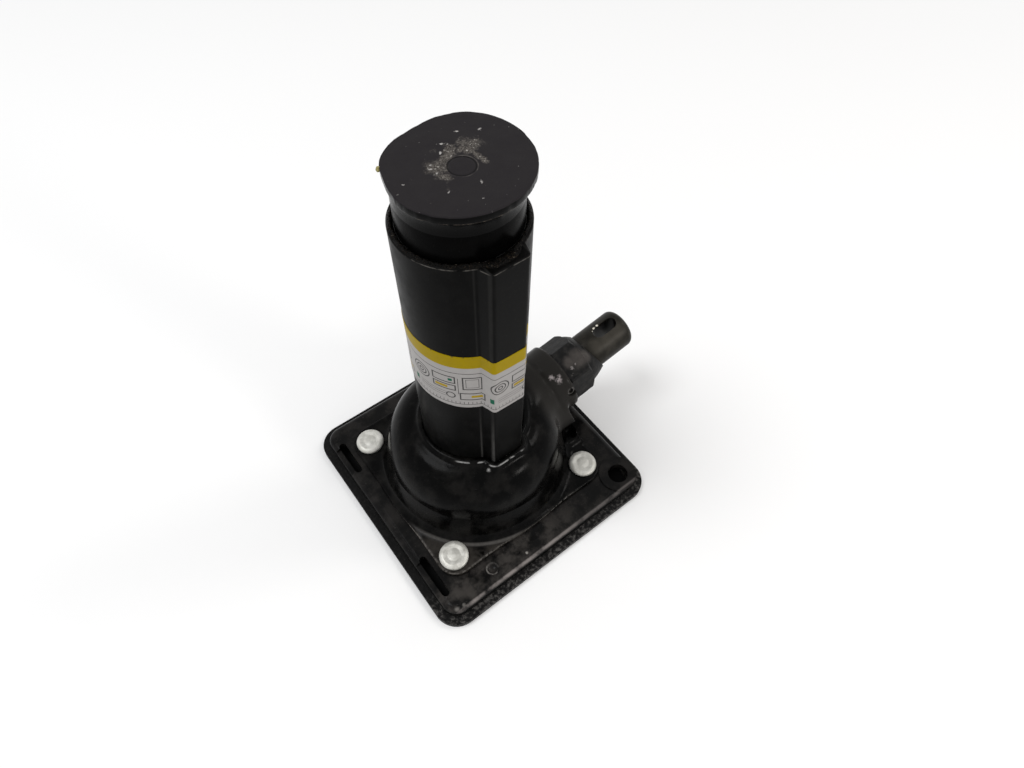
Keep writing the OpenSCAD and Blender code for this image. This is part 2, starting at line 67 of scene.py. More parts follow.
SIDE = np.array([0.0, 1.0, 0.0])
SHAFT_R, JOURNAL_R = 9.75, 9.55
SET_SCREW_AT, SET_SCREW_TURN = 47.9, math.radians(-66.0)
SET_OUT = (math.cos(SET_SCREW_TURN), math.sin(SET_SCREW_TURN))
SET_ACROSS = (-math.sin(SET_SCREW_TURN), math.cos(SET_SCREW_TURN))


# ---- meshes from arrays ----------------------------------------------------

def quads_of(rows, columns, wrap_rows, wrap_columns):
    """Corner numbers of the quads between neighbouring points of a grid."""
    r = np.arange(rows if wrap_rows else rows - 1)[:, None]
    c = np.arange(columns if wrap_columns else columns - 1)[None, :]
    r2, c2 = (r + 1) % rows, (c + 1) % columns
    corners = [r * columns + c, r * columns + c2, r2 * columns + c2, r2 * columns + c]
    return np.stack(corners, -1).reshape(-1, 4)


def mesh_of(name, points, quads):
    """A mesh of quads from points in millimetres."""
    mesh = bpy.data.meshes.new(name)
    mesh.vertices.add(len(points))
    mesh.vertices.foreach_set("co", (np.asarray(points, float) * MM).ravel())
    mesh.loops.add(quads.size)
    mesh.loops.foreach_set("vertex_index", quads.ravel().astype(np.int32))
    mesh.polygons.add(len(quads))
    mesh.polygons.foreach_set("loop_start", np.arange(0, quads.size, 4, dtype=np.int32))
    mesh.update(calc_edges=True)
    return mesh


def joined(patches):
    """Points and quads of several grids as one set. A patch is a grid, rows by columns by 3, then whether
    its rows and its columns close on themselves."""
    points, quads, count = [], [], 0
    for grid, wrap_rows, wrap_columns in patches:
        quads.append(quads_of(*grid.shape[:2], wrap_rows, wrap_columns) + count)
        points.append(grid.reshape(-1, 3))
        count += len(points[-1])
    return np.concatenate(points), np.concatenate(quads)


def sealed(name, patches, gap=2e-6):
    """A mesh of several grids: points that meet are merged, faces with no area dropped, and every face
    turned outwards."""
    mesh = mesh_of(name, *joined(patches))
    bm = bmesh.new()
    bm.from_mesh(mesh)
    bmesh.ops.remove_doubles(bm, verts=bm.verts, dist=gap)
    bmesh.ops.dissolve_degenerate(bm, edges=bm.edges, dist=1e-7)
    bmesh.ops.recalc_face_normals(bm, faces=bm.faces)
    bm.to_mesh(mesh)
    bm.free()
    return mesh


def show(thing):
    """Adds a new object to the scene."""
    bpy.context.scene.collection.objects.link(thing)
    return thing


def place(mesh, material, body, replaces=(), sharp=32.0):
    """Shows a mesh as a piece of its own name that rides on a body, smooth except where faces meet at more
    than an angle in degrees."""
    mesh.polygons.foreach_set("use_smooth", np.ones(len(mesh.polygons), bool))
    mesh.set_sharp_from_angle(angle=math.radians(sharp))
    mesh.materials.clear()
    mesh.materials.append(material)
    piece = show(bpy.data.objects.new(mesh.name, mesh))
    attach(piece, body)
    if replaces:
        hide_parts(*replaces)
    return piece


def lumps(p, size, seed):
    """Smooth random heights from -1 to 1: random numbers on a cubic lattice of that size, mixed by the
    weight 3 t^2 - 2 t^3 along each axis."""
    table = np.random.RandomState(seed).uniform(-1, 1, (32, 32, 32))
    q = np.asarray(p, float) / size + 64.0
    base = np.floor(q).astype(int)
    t = q - base
    t = t * t * (3 - 2 * t)
    total = np.zeros(q.shape[:-1])
    for corner in range(8):
        bit = np.array([corner & 1, corner >> 1 & 1, corner >> 2 & 1])
        i = (base + bit) % 32
        weight = np.prod(np.where(bit == 1, t, 1 - t), axis=-1)
        total += weight * table[i[..., 0], i[..., 1], i[..., 2]]
    return total


def round_the_axis(r, turn, z):
    """Points at a radius, an angle and a height about the lift axis."""
    return np.stack(np.broadcast_arrays(r * np.cos(turn), r * np.sin(turn), z), -1)


def lathe(profile, columns, centre=(0.0, 0.0)):
    """Grid of a closed profile of (radius, height) points turned about a vertical axis through the
    centre."""
    turn = np.linspace(0, 2 * np.pi, columns, endpoint=False)
    r, z = np.array(profile, float).T[:, :, None]
    return round_the_axis(r, turn, z) + [*centre, 0.0]


def on_drive(s, r, turn):
    """Points at a distance along the drive axis, a radius and an angle from the top towards +Y."""
    s, r, turn = np.broadcast_arrays(s, r, turn)
    return (APEX + s[..., None] * DRIVE + (r * np.cos(turn))[..., None] * DRIVE_UP
            + (r * np.sin(turn))[..., None] * SIDE)


def run_of(line):
    """Length along a line of points, at each of them."""
    return np.concatenate([[0], np.cumsum(np.hypot(*np.diff(line, axis=0).T))])


def values_at(lengths, run, values):
    """Values given along a line, read at other lengths along it."""
    return np.stack([np.interp(lengths, run, column) for column in values.T], -1)


def tube_outline():
    """Closed outline of the guide tube and its outward normals, at even steps: a circle, with the rib's two
    leaning sides, round corners and flat face on -Y."""
    start = math.atan2(-RIB_FOOT, RIB_X + RIB_FOOT_HALF)
    end = math.atan2(-RIB_FOOT, RIB_X - RIB_FOOT_HALF) + 2 * math.pi
    arc = np.linspace(start, end, 400)
    circle = np.stack([TUBE_R * np.cos(arc), TUBE_R * np.sin(arc)], -1)

    def face_corner(side, first, last):
        """Arc of one of the rib's face corners, between two angles in degrees."""
        turn = np.radians(np.linspace(first, last, 10))
        middle = (RIB_X + side * (RIB_HALF - RIB_ROUND), RIB_ROUND - RIB_FACE)
        return middle + RIB_ROUND * np.stack([np.cos(turn), np.sin(turn)], -1)

    line = np.concatenate([circle, face_corner(-1, 188, 270), face_corner(1, 270, 352), circle[:1]])
    run = run_of(line)
    even = values_at(np.linspace(0, run[-1], 480, endpoint=False), run, line)
    ahead = np.roll(even, -1, 0) - np.roll(even, 1, 0)
    normal = np.stack([ahead[:, 1], -ahead[:, 0]], -1)
    return even, normal / np.linalg.norm(normal, axis=1)[:, None]


# ---- the housing as a distance function ------------------------------------

def union(a, b, k):
    """Both shapes with a fillet about k wide: the smaller distance less a square term where the two are
    within k."""
    h = np.clip(0.5 + 0.5 * (b - a) / k, 0, 1)
    return b * (1 - h) + a * h - k * h * (1 - h)


def overlap(a, b, k):
    """What lies in both shapes, its edge rounded by about k."""
    return -union(-a, -b, k)


def round_box(dx, dy, r):
    """Distance from a rectangle with corners rounded by r, given how far outside each side the point is."""
    dx, dy = dx + r, dy + r
    return np.hypot(np.maximum(dx, 0), np.maximum(dy, 0)) + np.minimum(np.maximum(dx, dy), 0) - r


def tube_distance(x, y):
    """Distance from the guide tube's outline: the smaller of the circle's and of the rib's, whose sides
    lean in."""
    lean = np.clip((y + RIB_FACE) / (RIB_FACE - RIB_FOOT), 0, 1)
    half = RIB_HALF + (RIB_FOOT_HALF - RIB_HALF) * lean
    rib = round_box(np.abs(x - RIB_X) - half, -y - RIB_FACE, RIB_ROUND)
    rib = np.where(y > 0, 50.0, rib)
    return np.minimum(np.hypot(x, y) - TUBE_R, rib)


def bell_distance(x, y, z, radius, wall_top, reach, rise, lean=0.0):
    """Wall that leans in by lean from the flange up, then turns in as a quarter ellipse: reach is the
    ellipse's width, rise its height."""
    rho = np.hypot(x, y) - lean * np.clip((wall_top - z) / (wall_top - FLANGE_TOP), 0, 1)
    q = np.hypot(np.maximum(rho - (radius - reach), 0) / reach, np.maximum(z - wall_top, 0) / rise)
    dome = (q - 1) * (rise + (reach - rise) * np.clip(1 - (z - wall_top) / rise, 0, 1))
    flat = z - wall_top - rise
    return np.where(rho > radius - reach, dome, flat)


def boss_distance(s, off):
    """Boss about the drive axis: it swells by 0.5 mm toward its end at s = 50 and has a fine groove at s =
    40."""
    radius = 16.3 + 0.5 * np.clip((s - 40) / 8, 0, 1) - 0.45 * np.exp(-((s - 40.0) / 0.9) ** 2)
    return np.maximum(overlap(off - radius, s - 50.0, 1.3), 6 - s)


def skirt_distance(x, y, z):
    """Block between boss and flange: its sides and end lean in with height, and each flank has a niche."""
    foot = np.clip((z - FLANGE_TOP) / 16.3, 0, 1)
    top = np.clip((z - 28.0) / 14.0, 0, 1)
    flank = np.abs(y) - (25.5 - 3.5 * foot - 7.0 * top)
    end = x - (45.6 - 2.0 * foot - 3.0 * top)
    skirt = np.maximum(overlap(np.maximum(flank, end), z - 38.0, 3.0), 20 - x)
    niche = round_box(np.abs(x - 39.5) - 4.5, np.abs(z - 21.0) - 6.0, 2.0)
    return overlap(skirt, -overlap(niche, 18.5 - np.abs(y), 0.8), 0.9)


def hollow_distance(x, y, z, s, off):
    """The bell's inside, the tube's seat and the bore below it, the pinion's room and the bush's bore."""
    inside = bell_distance(x, y, z, radius=36.5, wall_top=24.5, reach=14.9, rise=20.0)
    seat = np.maximum(tube_distance(x, y), TUBE_FOOT - z)
    seat = np.minimum(seat, np.maximum(np.hypot(x, y) - TUBE_BORE_R, 30 - z))
    room = np.maximum(off - 14.4, np.maximum(s - 34, 12 - s))
    bore = np.maximum(off - 12.5, 12 - s)
    return np.minimum(np.minimum(inside, seat), np.minimum(room, bore))


def housing_distance(x, y, z):
    """Cast gear housing: flange, bell, neck, boss and skirt joined with fillets, less the hollows and the
    set screw's hole. s runs along the drive axis from APEX, up and off are the height above it and distance
    from it."""
    s = x * DRIVE[0] + (z - APEX[2]) * DRIVE[2]
    up = x * DRIVE_UP[0] + (z - APEX[2]) * DRIVE_UP[2]
    off = np.hypot(up, y)
    bell = bell_distance(x, y, z, radius=40.3, wall_top=26.5, reach=15.2, rise=21.5, lean=4.2)
    neck = overlap(tube_distance(x, y) - NECK_WALL, z - NECK_TOP, 1.2)
    body = union(bell, neck, 2.6)
    body = union(body, boss_distance(s, off), 6.0)
    body = union(body, skirt_distance(x, y, z), 2.4)
    flange = overlap(round_box(np.abs(x) - 46.0, np.abs(y) - 45.3, 9.0), z - FLANGE_TOP, 1.2)
    body = union(body, flange, 5.0)
    body = overlap(body, PLATFORM_H - z, 0.5)
    body = overlap(body, -hollow_distance(x, y, z, s, off), 0.5)
    screw_hole = np.hypot(s - SET_SCREW_AT, up * SET_ACROSS[0] + y * SET_ACROSS[1]) - 2.25
    screw_hole = np.maximum(screw_hole, 11.0 - (up * SET_OUT[0] + y * SET_OUT[1]))
    return overlap(body, -screw_hole, 0.4)


def shell_of(distance, low, high, step):
    """Points and quads where a distance function is 0. Each grid cell that the surface crosses has a point,
    at the mean of the crossings of the cell's edges, moved down the function's slope until it reads 0. Each
    edge of the grid whose ends lie on different sides has a quad round it."""
    axes = [np.arange(a, b + step, step) for a, b in zip(low, high)]
    field = distance(*np.meshgrid(*axes, indexing="ij"))
    inside = field < 0
    size = np.array(field.shape) - 1
    total = np.zeros((*size, 3))
    count = np.zeros(size)
    grid = np.stack(np.meshgrid(*[a[:-1] for a in axes], indexing="ij"), -1)

    def part(values, bit):
        """The values at one corner of every cell."""
        return values[tuple(slice(b, b + n) for b, n in zip(bit, size))]

    for corner in range(8):
        a = np.array([corner & 1, corner >> 1 & 1, corner >> 2 & 1])
        for axis in np.flatnonzero(a == 0):
            b = a.copy()
            b[axis] = 1
            fa, fb = part(field, a), part(field, b)
            cross = part(inside, a) != part(inside, b)
            t = np.where(cross, fa / np.where(cross, fa - fb, 1.0), 0.0)
            at = grid + a * step
            at[..., axis] += t * step
            total += np.where(cross[..., None], at, 0.0)
            count += cross
    active = count > 0
    number = np.full(size, -1)
    number[active] = np.arange(active.sum())
    points = total[active] / count[active][:, None]
    reach = 0.05
    for _ in range(4):
        value = distance(*points.T)
        slope = np.stack([(distance(*(points + e).T) - distance(*(points - e).T)) / (2 * reach)
                          for e in reach * np.eye(3)], -1)
        move = value / np.maximum((slope ** 2).sum(-1), 0.2)
        points = points - np.clip(move, -0.3 * step, 0.3 * step)[:, None] * slope
    quads = []
    for axis in range(3):
        u, v = (axis + 1) % 3, (axis + 2) % 3
        change = -np.diff(inside.astype(int), axis=axis)
        spot = np.argwhere(change != 0)
        spot = spot[(spot[:, u] > 0) & (spot[:, v] > 0) & (spot[:, u] < size[u]) & (spot[:, v] < size[v])]
        cells = []
        for du, dv in ((1, 1), (0, 1), (0, 0), (1, 0)):
            cell = spot.copy()
            cell[:, u] -= du
            cell[:, v] -= dv
            cells.append(number[tuple(cell.T)])
        quad = np.stack(cells, -1)
        turned = change[tuple(spot.T)] < 0
        quad[turned] = quad[turned][:, ::-1]
        quads.append(quad)
    return points, np.concatenate(quads)


# ---- materials -------------------------------------------------------------

class Finish:
    """A material being wired. add() makes a node, sets or links its inputs and returns one output; the
    other methods name the few nodes that the finishes share. A share is a number from 0 to 1. Sizes and
    places are in mm."""

    def __init__(self, name):
        self.material = bpy.data.materials.new(name)
        self.material.use_nodes = True
        self.tree = self.material.node_tree
        self.tree.nodes.clear()
        self.here = self.add("TexCoord", out="Object")

    def feed(self, socket, value):
        """Links an output to a socket, or sets the socket to a plain value."""
        if isinstance(value, bpy.types.NodeSocket):
            self.tree.links.new(value, socket)
        else:
            socket.default_value = value

    def add(self, kind, inputs=None, out=0, **settings):
        made = self.tree.nodes.new("ShaderNode" + kind)
        for key, value in settings.items():
            setattr(made, key, value)
        for key, value in (inputs or {}).items():
            self.feed(made.inputs[key], value)
        return made.outputs[out]

    def calc(self, operation, a, b=0.0):
        return self.add("Math", {0: a, 1: b}, operation=operation)

    def times(self, first, *others):
        """Product of numbers or shares."""
        for other in others:
            first = self.calc("MULTIPLY", first, other)
        return first

    def plus(self, a, b):
        return self.calc("ADD", a, b)

    def less(self, a, b):
        return self.calc("SUBTRACT", a, b)

    def most(self, first, *others):
        """The largest of several numbers."""
        for other in others:
            first = self.calc("MAXIMUM", first, other)
        return first

    def rest(self, share):
        """What a share leaves of 1."""
        return self.less(1.0, share)

    def off(self, value, middle):
        """How far a value is from a middle, either way."""
        return self.calc("ABSOLUTE", self.less(value, middle))

    def step(self, value, low, high):
        """0 below low, 1 above high and smooth between."""
        return self.add("MapRange", {"Value": value, "From Min": low, "From Max": high},
                        interpolation_type="SMOOTHSTEP")

    def level(self, share, a, b):
        """Number a where share is 0 and b where it is 1."""
        return self.add("MapRange", {"Value": share, "To Min": a, "To Max": b})

    def past(self, length, low, high):
        """0 where a length is below low mm and 1 above high mm."""
        return self.step(length, low * MM, high * MM)

    def short_of(self, length, low, high):
        """1 where a length is below low mm and 0 above high mm."""
        return self.rest(self.past(length, low, high))

    def line(self, length, at, full, none):
        """1 where a length is within full mm of a value, falling to 0 at none mm from it."""
        return self.short_of(self.off(length, at * MM), full, none)

    def away(self, spot):
        """Distance from a spot given in mm."""
        return self.vector("DISTANCE", self.here, [c * MM for c in spot], out="Value")

    def vector(self, operation, a, b=(0.0, 0.0, 0.0), out="Vector"):
        return self.add("VectorMath", {0: a, 1: b}, out, operation=operation)

    def axes(self, where=None):
        """The three parts of a place."""
        xyz = self.tree.nodes.new("ShaderNodeSeparateXYZ")
        self.feed(xyz.inputs[0], where or self.here)
        return list(xyz.outputs)

    def noise(self, size, detail=3.0, rough=0.55, stretch=None):
        """Noise with features about size mm wide."""
        where = self.here
        if stretch:
            where = self.add("Mapping", {"Vector": where, "Scale": stretch})
        return self.add("TexNoise", {"Vector": where, "Scale": 1.0 / (size * MM), "Detail": detail,
                                     "Roughness": rough})

    def between(self, share, a, b):
        """Colour a where share is 0 and b where it is 1."""
        mix = self.tree.nodes.new("ShaderNodeMix")
        mix.data_type = "RGBA"
        for key, value in ((0, share), (6, a), (7, b)):
            self.feed(mix.inputs[key], value)
        return mix.outputs[2]

    def over(self, under, share, colour, cover=1.0):
        """A colour laid over another by a share, which it covers to at most that cover."""
        if cover < 1.0:
            share = self.times(share, cover)
        return self.between(share, under, colour)

    def specks(self, under, low, cover, colour, size=0.55):
        """A colour with fine specks of dust on it, where a noise is above low."""
        return self.over(under, self.step(self.noise(size, 1.0, 0.4), low, low + 0.05), colour, cover)

    def chips(self, near, pull, ragged, low, high, reach, start=0.0):
        """Ragged chips: where pull times the nearness to a spot, and a noise, add up to more than low; they
        fade out where the nearness falls from reach to start."""
        torn = self.step(self.plus(self.times(near, pull), ragged), low, high)
        return self.times(torn, self.step(near, start, reach))

    def drive_spots(self, spots, radius):
        """1 at spots on a barrel about the drive axis, falling evenly to 0 at their size: each is a
        distance along, an angle from the top in degrees, and a size in mm."""
        near = 0.0
        for s, turn, size in spots:
            away = self.away(on_drive(s, radius, math.radians(turn)))
            near = self.most(self.most(self.rest(self.calc("DIVIDE", away, size * MM)), 0.0), near)
        return near

    def bump(self, height, depth, under=None):
        """Bump whose full height is depth mm."""
        inputs = {"Height": height, "Distance": depth * MM, "Strength": 1.0}
        if under:
            inputs["Normal"] = under
        return self.add("Bump", inputs)

    def done(self, **inputs):
        bsdf = self.tree.nodes.new("ShaderNodeBsdfPrincipled")
        for key, value in inputs.items():
            self.feed(bsdf.inputs[key.replace("_", " ")], value)
        end = self.tree.nodes.new("ShaderNodeOutputMaterial")
        self.tree.links.new(bsdf.outputs[0], end.inputs[0])
        return self.material


def grey(value, green=1.0, blue=1.0):
    """A grey whose green and blue are that share of its red."""
    return (value, value * green, value * blue, 1.0)


def tray_enamel():
    """The base's enamel: glossy black, a brown film of dust on the -Y strip that also paints the brown sheen
    lit there, a painted highlight with some pale wear along that strip's bend, painted highlights on the
    dimple's rim and at two spots of the corner, a pale chip, and rough, mottled grey on the rolled lip."""
    f = Finish("tray_enamel")
    x, y, z = f.axes()
    cloud = f.noise(9.0, 4.0, 0.6)
    fine = f.noise(0.45, 3.0, 0.6)
    mottle = f.noise(1.7, 5.0, 0.7)
    front = f.short_of(y, -47.5, -40.5)
    strip = f.times(front, f.short_of(x, -6.0, 30.0))
    lip = f.short_of(z, 3.0, 4.6)
    raised = f.past(z, 6.2, 7.4)
    dull = f.step(cloud, 0.38, 0.66)
    # Brown dust film over the platform, fullest on the -Y strip, where it also paints the brown sheen that
    # light lays there.
    film = f.times(dull, f.level(strip, 0.30, 1.0), raised)
    colour = f.between(film, grey(0.0035, 0.98, 0.97), grey(0.0400, 0.90, 0.82))
    # Painted highlight, with some pale wear: a pale line along the -Y strip's rounded bend, where it catches
    # light.
    bend = f.line(y, -57.0, 0.18, 0.9)
    bend = f.times(bend, f.times(front, f.level(strip, 0.4, 1.0)), raised, f.step(cloud, 0.30, 0.60))
    colour = f.over(colour, bend, grey(0.24, 0.90, 0.86), 0.9)

    def pale_spot(px, py, size):
        """1 at a spot of the platform, ragged toward 0 at about size mm from it."""
        away = f.plus(f.away((px, py, PLATFORM_H)), f.times(mottle, 1.6 * MM))
        return f.short_of(away, 0.5 + 0.3 * size, 0.9 + size)

    # Painted highlights: a pale broken line round the dimple's rim, paler on its -X side, and two pale spots
    # at the front corner. The spot at x = -10.5 mm is a pale chip of wear.
    rim = f.line(f.away((*DIMPLE, PLATFORM_H)), 2.6, 0.1, 0.5)
    outer_side = f.short_of(f.plus(x, f.times(y, 0.5)), -54.5, -51.5)
    wear_and_glints = f.times(rim, f.times(f.step(mottle, 0.40, 0.58), f.level(outer_side, 0.12, 0.6)))
    wear_and_sheen = ((-50.2, -55.9, 1.8, 0.55), (-46.6, -56.2, 1.2, 0.4), (-10.5, -54.3, 0.8, 0.9))
    for px, py, size, share in wear_and_sheen:
        wear_and_glints = f.most(wear_and_glints, f.times(pale_spot(px, py, size), share))
    colour = f.over(colour, wear_and_glints, grey(0.30, 0.94, 0.88))
    rough_lip = f.times(lip, f.step(mottle, 0.46, 0.66), f.level(front, 0.06, 0.9))
    colour = f.over(colour, rough_lip, grey(0.085, 0.95, 0.90))
    colour = f.specks(colour, 0.71, 0.3, grey(0.10, 0.94, 0.86))
    rough = f.plus(f.level(dull, 0.20, 0.34), f.times(lip, 0.25))
    skin = f.bump(fine, 0.01, f.bump(f.times(mottle, f.level(lip, 0.1, 1.0)), 0.28))
    return f.done(Base_Color=colour, Roughness=rough, Normal=skin, Specular_IOR_Level=0.07)


def casting_enamel():
    """The housing's enamel: thick and very dark, dusty brown toward the drive end and on the flange, where
    the brown near the -X, -Y corner also paints a warm sheen, and painted highlights as broken pale lines: on
    the neck's rim, along the bell's foot and on the flange's upper edge, with a pale dot where the rib meets
    the dome."""
    f = Finish("casting_enamel")
    x, y, z = f.axes()
    wave = f.noise(2.6, 2.0)
    fine = f.noise(0.35, 2.0)
    cloud = f.noise(9.0, 4.0, 0.6)
    ragged = f.noise(1.6, 3.0, 0.6)
    dull = f.step(cloud, 0.42, 0.68)
    drive_end = f.times(f.past(x, 24, 34), f.past(z, 26, 34))
    film = f.most(f.times(dull, 0.30), f.times(drive_end, f.level(cloud, 0.6, 2.2)))
    colour = f.between(film, grey(0.0010, 0.99, 0.98), grey(0.0230, 0.94, 0.86))

    # Painted highlights: thin pale broken lines on the neck's rim at the rib side, and a pale dot where the
    # rib's neck corner meets the dome.
    rib_side = f.times(f.past(f.times(y, -1.0), 14.0, 16.5), f.short_of(x, 6.0, 8.0))
    rim = f.line(z, NECK_TOP - 0.55, 0.08, 0.42)
    rim = f.times(rim, rib_side, f.step(f.noise(3.2, 2.0, 0.5), 0.44, 0.62))
    painted_glint_dot = f.short_of(f.plus(f.away((-10.5, -25.9, 47.8)), f.times(ragged, 1.4 * MM)), 0.7, 1.9)
    colour = f.over(colour, f.most(rim, painted_glint_dot), grey(0.34, 0.99, 0.97), 0.85)

    outward = f.vector("LENGTH", f.vector("MULTIPLY", f.here, (1.0, 1.0, 0.0)), out="Value")
    toward_corner = f.plus(f.times(x, -0.5), f.times(y, -0.86))
    corner = f.past(toward_corner, 30, 44)
    # Painted highlight: a pale ragged arc on the bell's foot fillet toward the -X, -Y corner.
    foot = f.times(f.line(outward, 46.8, 0.2, 1.1), f.short_of(z, 12.8, 14.0))
    foot = f.times(foot, f.times(corner, f.level(ragged, 0.45, 1.0)))
    colour = f.over(colour, foot, grey(0.105, 0.94, 0.88), 0.8)
    # Painted highlight: a pale broken line on the flange's upper edge toward the -X, -Y corner.
    edge = f.line(z, FLANGE_TOP - 0.3, 0.12, 0.34)
    edge = f.times(edge, f.times(f.past(toward_corner, 22, 36), f.step(ragged, 0.36, 0.60)))
    colour = f.over(colour, edge, grey(0.17, 0.93, 0.86), 0.8)
    # Dusty brown on the flange top toward the -X, -Y corner, which also paints the warm sheen lit there.
    flat = f.times(f.short_of(z, FLANGE_TOP, FLANGE_TOP + 0.4), corner, f.step(cloud, 0.30, 0.62))
    colour = f.over(colour, flat, grey(0.040, 0.88, 0.76), 0.55)

    near = f.drive_spots([(43.1, -24, 2.3), (45.2, -35, 2.8), (46.6, -29, 1.6)], 16.4)
    chips = f.chips(near, 0.55, f.noise(0.9, 4.0, 0.7), 0.66, 1.04, reach=0.35)
    colour = f.over(colour, chips, grey(0.42, 0.90, 0.90), 0.9)
    colour = f.specks(colour, 0.72, 0.12, grey(0.09, 0.96, 0.9))
    rough = f.plus(f.level(dull, 0.14, 0.26), f.times(fine, 0.05))
    skin = f.bump(fine, 0.006, f.bump(wave, 0.05))
    return f.done(Base_Color=colour, Roughness=rough, Normal=skin, Specular_IOR_Level=0.043)


def tube_enamel():
    """Satin black paint with fine scratches along the tube, and painted highlights: pale broken lines along
    the rib's edges and on the front of the rim."""
    f = Finish("tube_satin")
    x, y, z = f.axes()
    lines = f.noise(0.25, 2.0, 0.6, stretch=(1.0, 1.0, 0.15))
    ragged = f.noise(1.8, 3.0, 0.6, stretch=(1.0, 1.0, 0.4))
    film = f.step(f.noise(7.0, 4.0, 0.6), 0.4, 0.7)
    colour = f.between(film, grey(0.0018, 0.98, 0.95), grey(0.0044, 0.97, 0.92))
    colour = f.over(colour, f.step(lines, 0.64, 0.74), grey(0.07, 0.95, 0.88), 0.07)
    colour = f.specks(colour, 0.71, 0.10, grey(0.08, 0.95, 0.88), size=0.5)

    # Painted highlights: pale broken lines along the rib's face corners and its foot, fading upwards.
    side = f.off(x, RIB_X * MM)
    front = f.calc("LESS_THAN", y, -18.4 * MM)
    face_edge = f.times(f.line(side, 7.25, 0.0825, 0.55), front)
    foot_edge = f.times(f.line(side, 9.9, 0.075, 0.5), front)
    edge = f.most(face_edge, f.times(foot_edge, 0.7))
    low = f.short_of(z, 60, 88)
    edge = f.times(edge, f.times(f.level(ragged, 0.3, 0.9), f.level(low, 0.22, 1.0)))
    colour = f.over(colour, edge, grey(0.085, 0.98, 0.94))
    # Painted highlight: a pale broken line on the front of the rim.
    rim = f.times(f.line(z, RIM_H - 0.6, 0.10, 0.26), f.calc("LESS_THAN", y, -4 * MM))
    rim = f.times(rim, f.step(f.noise(2.5, 3.0, 0.6), 0.40, 0.62))
    colour = f.over(colour, rim, grey(0.10, 0.94, 0.86), 0.85)
    skin = f.bump(lines, 0.01, f.bump(f.noise(3.0, 2.0), 0.02))
    return f.done(Base_Color=colour, Roughness=f.level(film, 0.32, 0.44), Normal=skin,
                  Specular_IOR_Level=0.035)


def ram_paint():
    """Very dark satin paint under a thin uneven film of grease, with fine scratches along the travel."""
    f = Finish("ram_greased")
    lines = f.noise(0.25, 2.0, 0.6, stretch=(1.0, 1.0, 0.2))
    film = f.step(f.noise(7.0, 4.0, 0.6), 0.4, 0.7)
    colour = f.between(film, grey(0.0010, 0.97, 0.95), grey(0.0017, 0.97, 0.95))
    colour = f.over(colour, f.step(lines, 0.64, 0.74), grey(0.07, 0.95, 0.88), 0.05)
    rough = f.plus(f.level(film, 0.20, 0.32), f.times(lines, 0.05))
    skin = f.bump(lines, 0.01, f.bump(f.noise(3.0, 2.0), 0.02))
    return f.done(Base_Color=colour, Roughness=rough, Normal=skin, Specular_IOR_Level=0.015)


def machined(name, colour, rough):
    """Turned metal with fine tool lines and patchy oil."""
    f = Finish(name)
    lines = f.noise(0.5, 2.0, 0.5, stretch=(1.0, 1.0, 8.0))
    oil = f.step(f.noise(5.0, 3.0), 0.45, 0.65)
    shade = f.between(oil, (*colour, 1.0), (*[c * 0.72 for c in colour], 1.0))
    return f.done(Base_Color=shade, Metallic=1.0, Roughness=f.level(oil, rough, rough * 0.6),
                  Normal=f.bump(lines, 0.008))


def wiper_rubber():
    """Greasy black rubber, faintly grained."""
    f = Finish("wiper_rubber")
    grain = f.noise(0.3, 2.0)
    shine = f.step(f.noise(3.0, 3.0), 0.45, 0.6)
    return f.done(Base_Color=f.between(shine, grey(0.02), grey(0.008)), Roughness=f.level(shine, 0.55, 0.22),
                  Normal=f.bump(grain, 0.03))


def gritty_grease():
    """Old grease full of grit: dark and wet, with paler brown grains."""
    f = Finish("gritty_grease")
    grains = f.noise(0.5, 2.0, 0.7)
    pale = f.step(grains, 0.52, 0.68)
    patch = f.step(f.noise(6.0, 2.0), 0.45, 0.62)
    share = f.times(pale, f.level(patch, 0.35, 1.0))
    colour = f.between(share, grey(0.002, 0.93, 0.85), grey(0.030, 0.72, 0.50))
    colour = f.over(colour, f.step(f.noise(0.8, 2.0, 0.5), 0.68, 0.74), grey(0.16, 0.86, 0.68), 0.6)
    return f.done(Base_Color=colour, Roughness=f.level(pale, 0.2, 0.6), Normal=f.bump(grains, 0.45),
                  Specular_IOR_Level=0.04)


def plated_rivet():
    """Bright plated rivet: pale and even, with soft clouds and small pits."""
    f = Finish("plated_rivet")
    cloud = f.noise(2.4, 4.0, 0.6)
    pits = f.step(f.noise(0.45, 2.0), 0.66, 0.74)
    colour = f.between(f.step(cloud, 0.35, 0.7), grey(0.47, 0.985, 0.90), grey(0.63, 0.985, 0.92))
    colour = f.over(colour, pits, grey(0.34), 0.5)
    return f.done(Base_Color=colour, Metallic=0.35, Roughness=f.level(cloud, 0.34, 0.52),
                  Normal=f.bump(f.less(cloud, pits), 0.05))


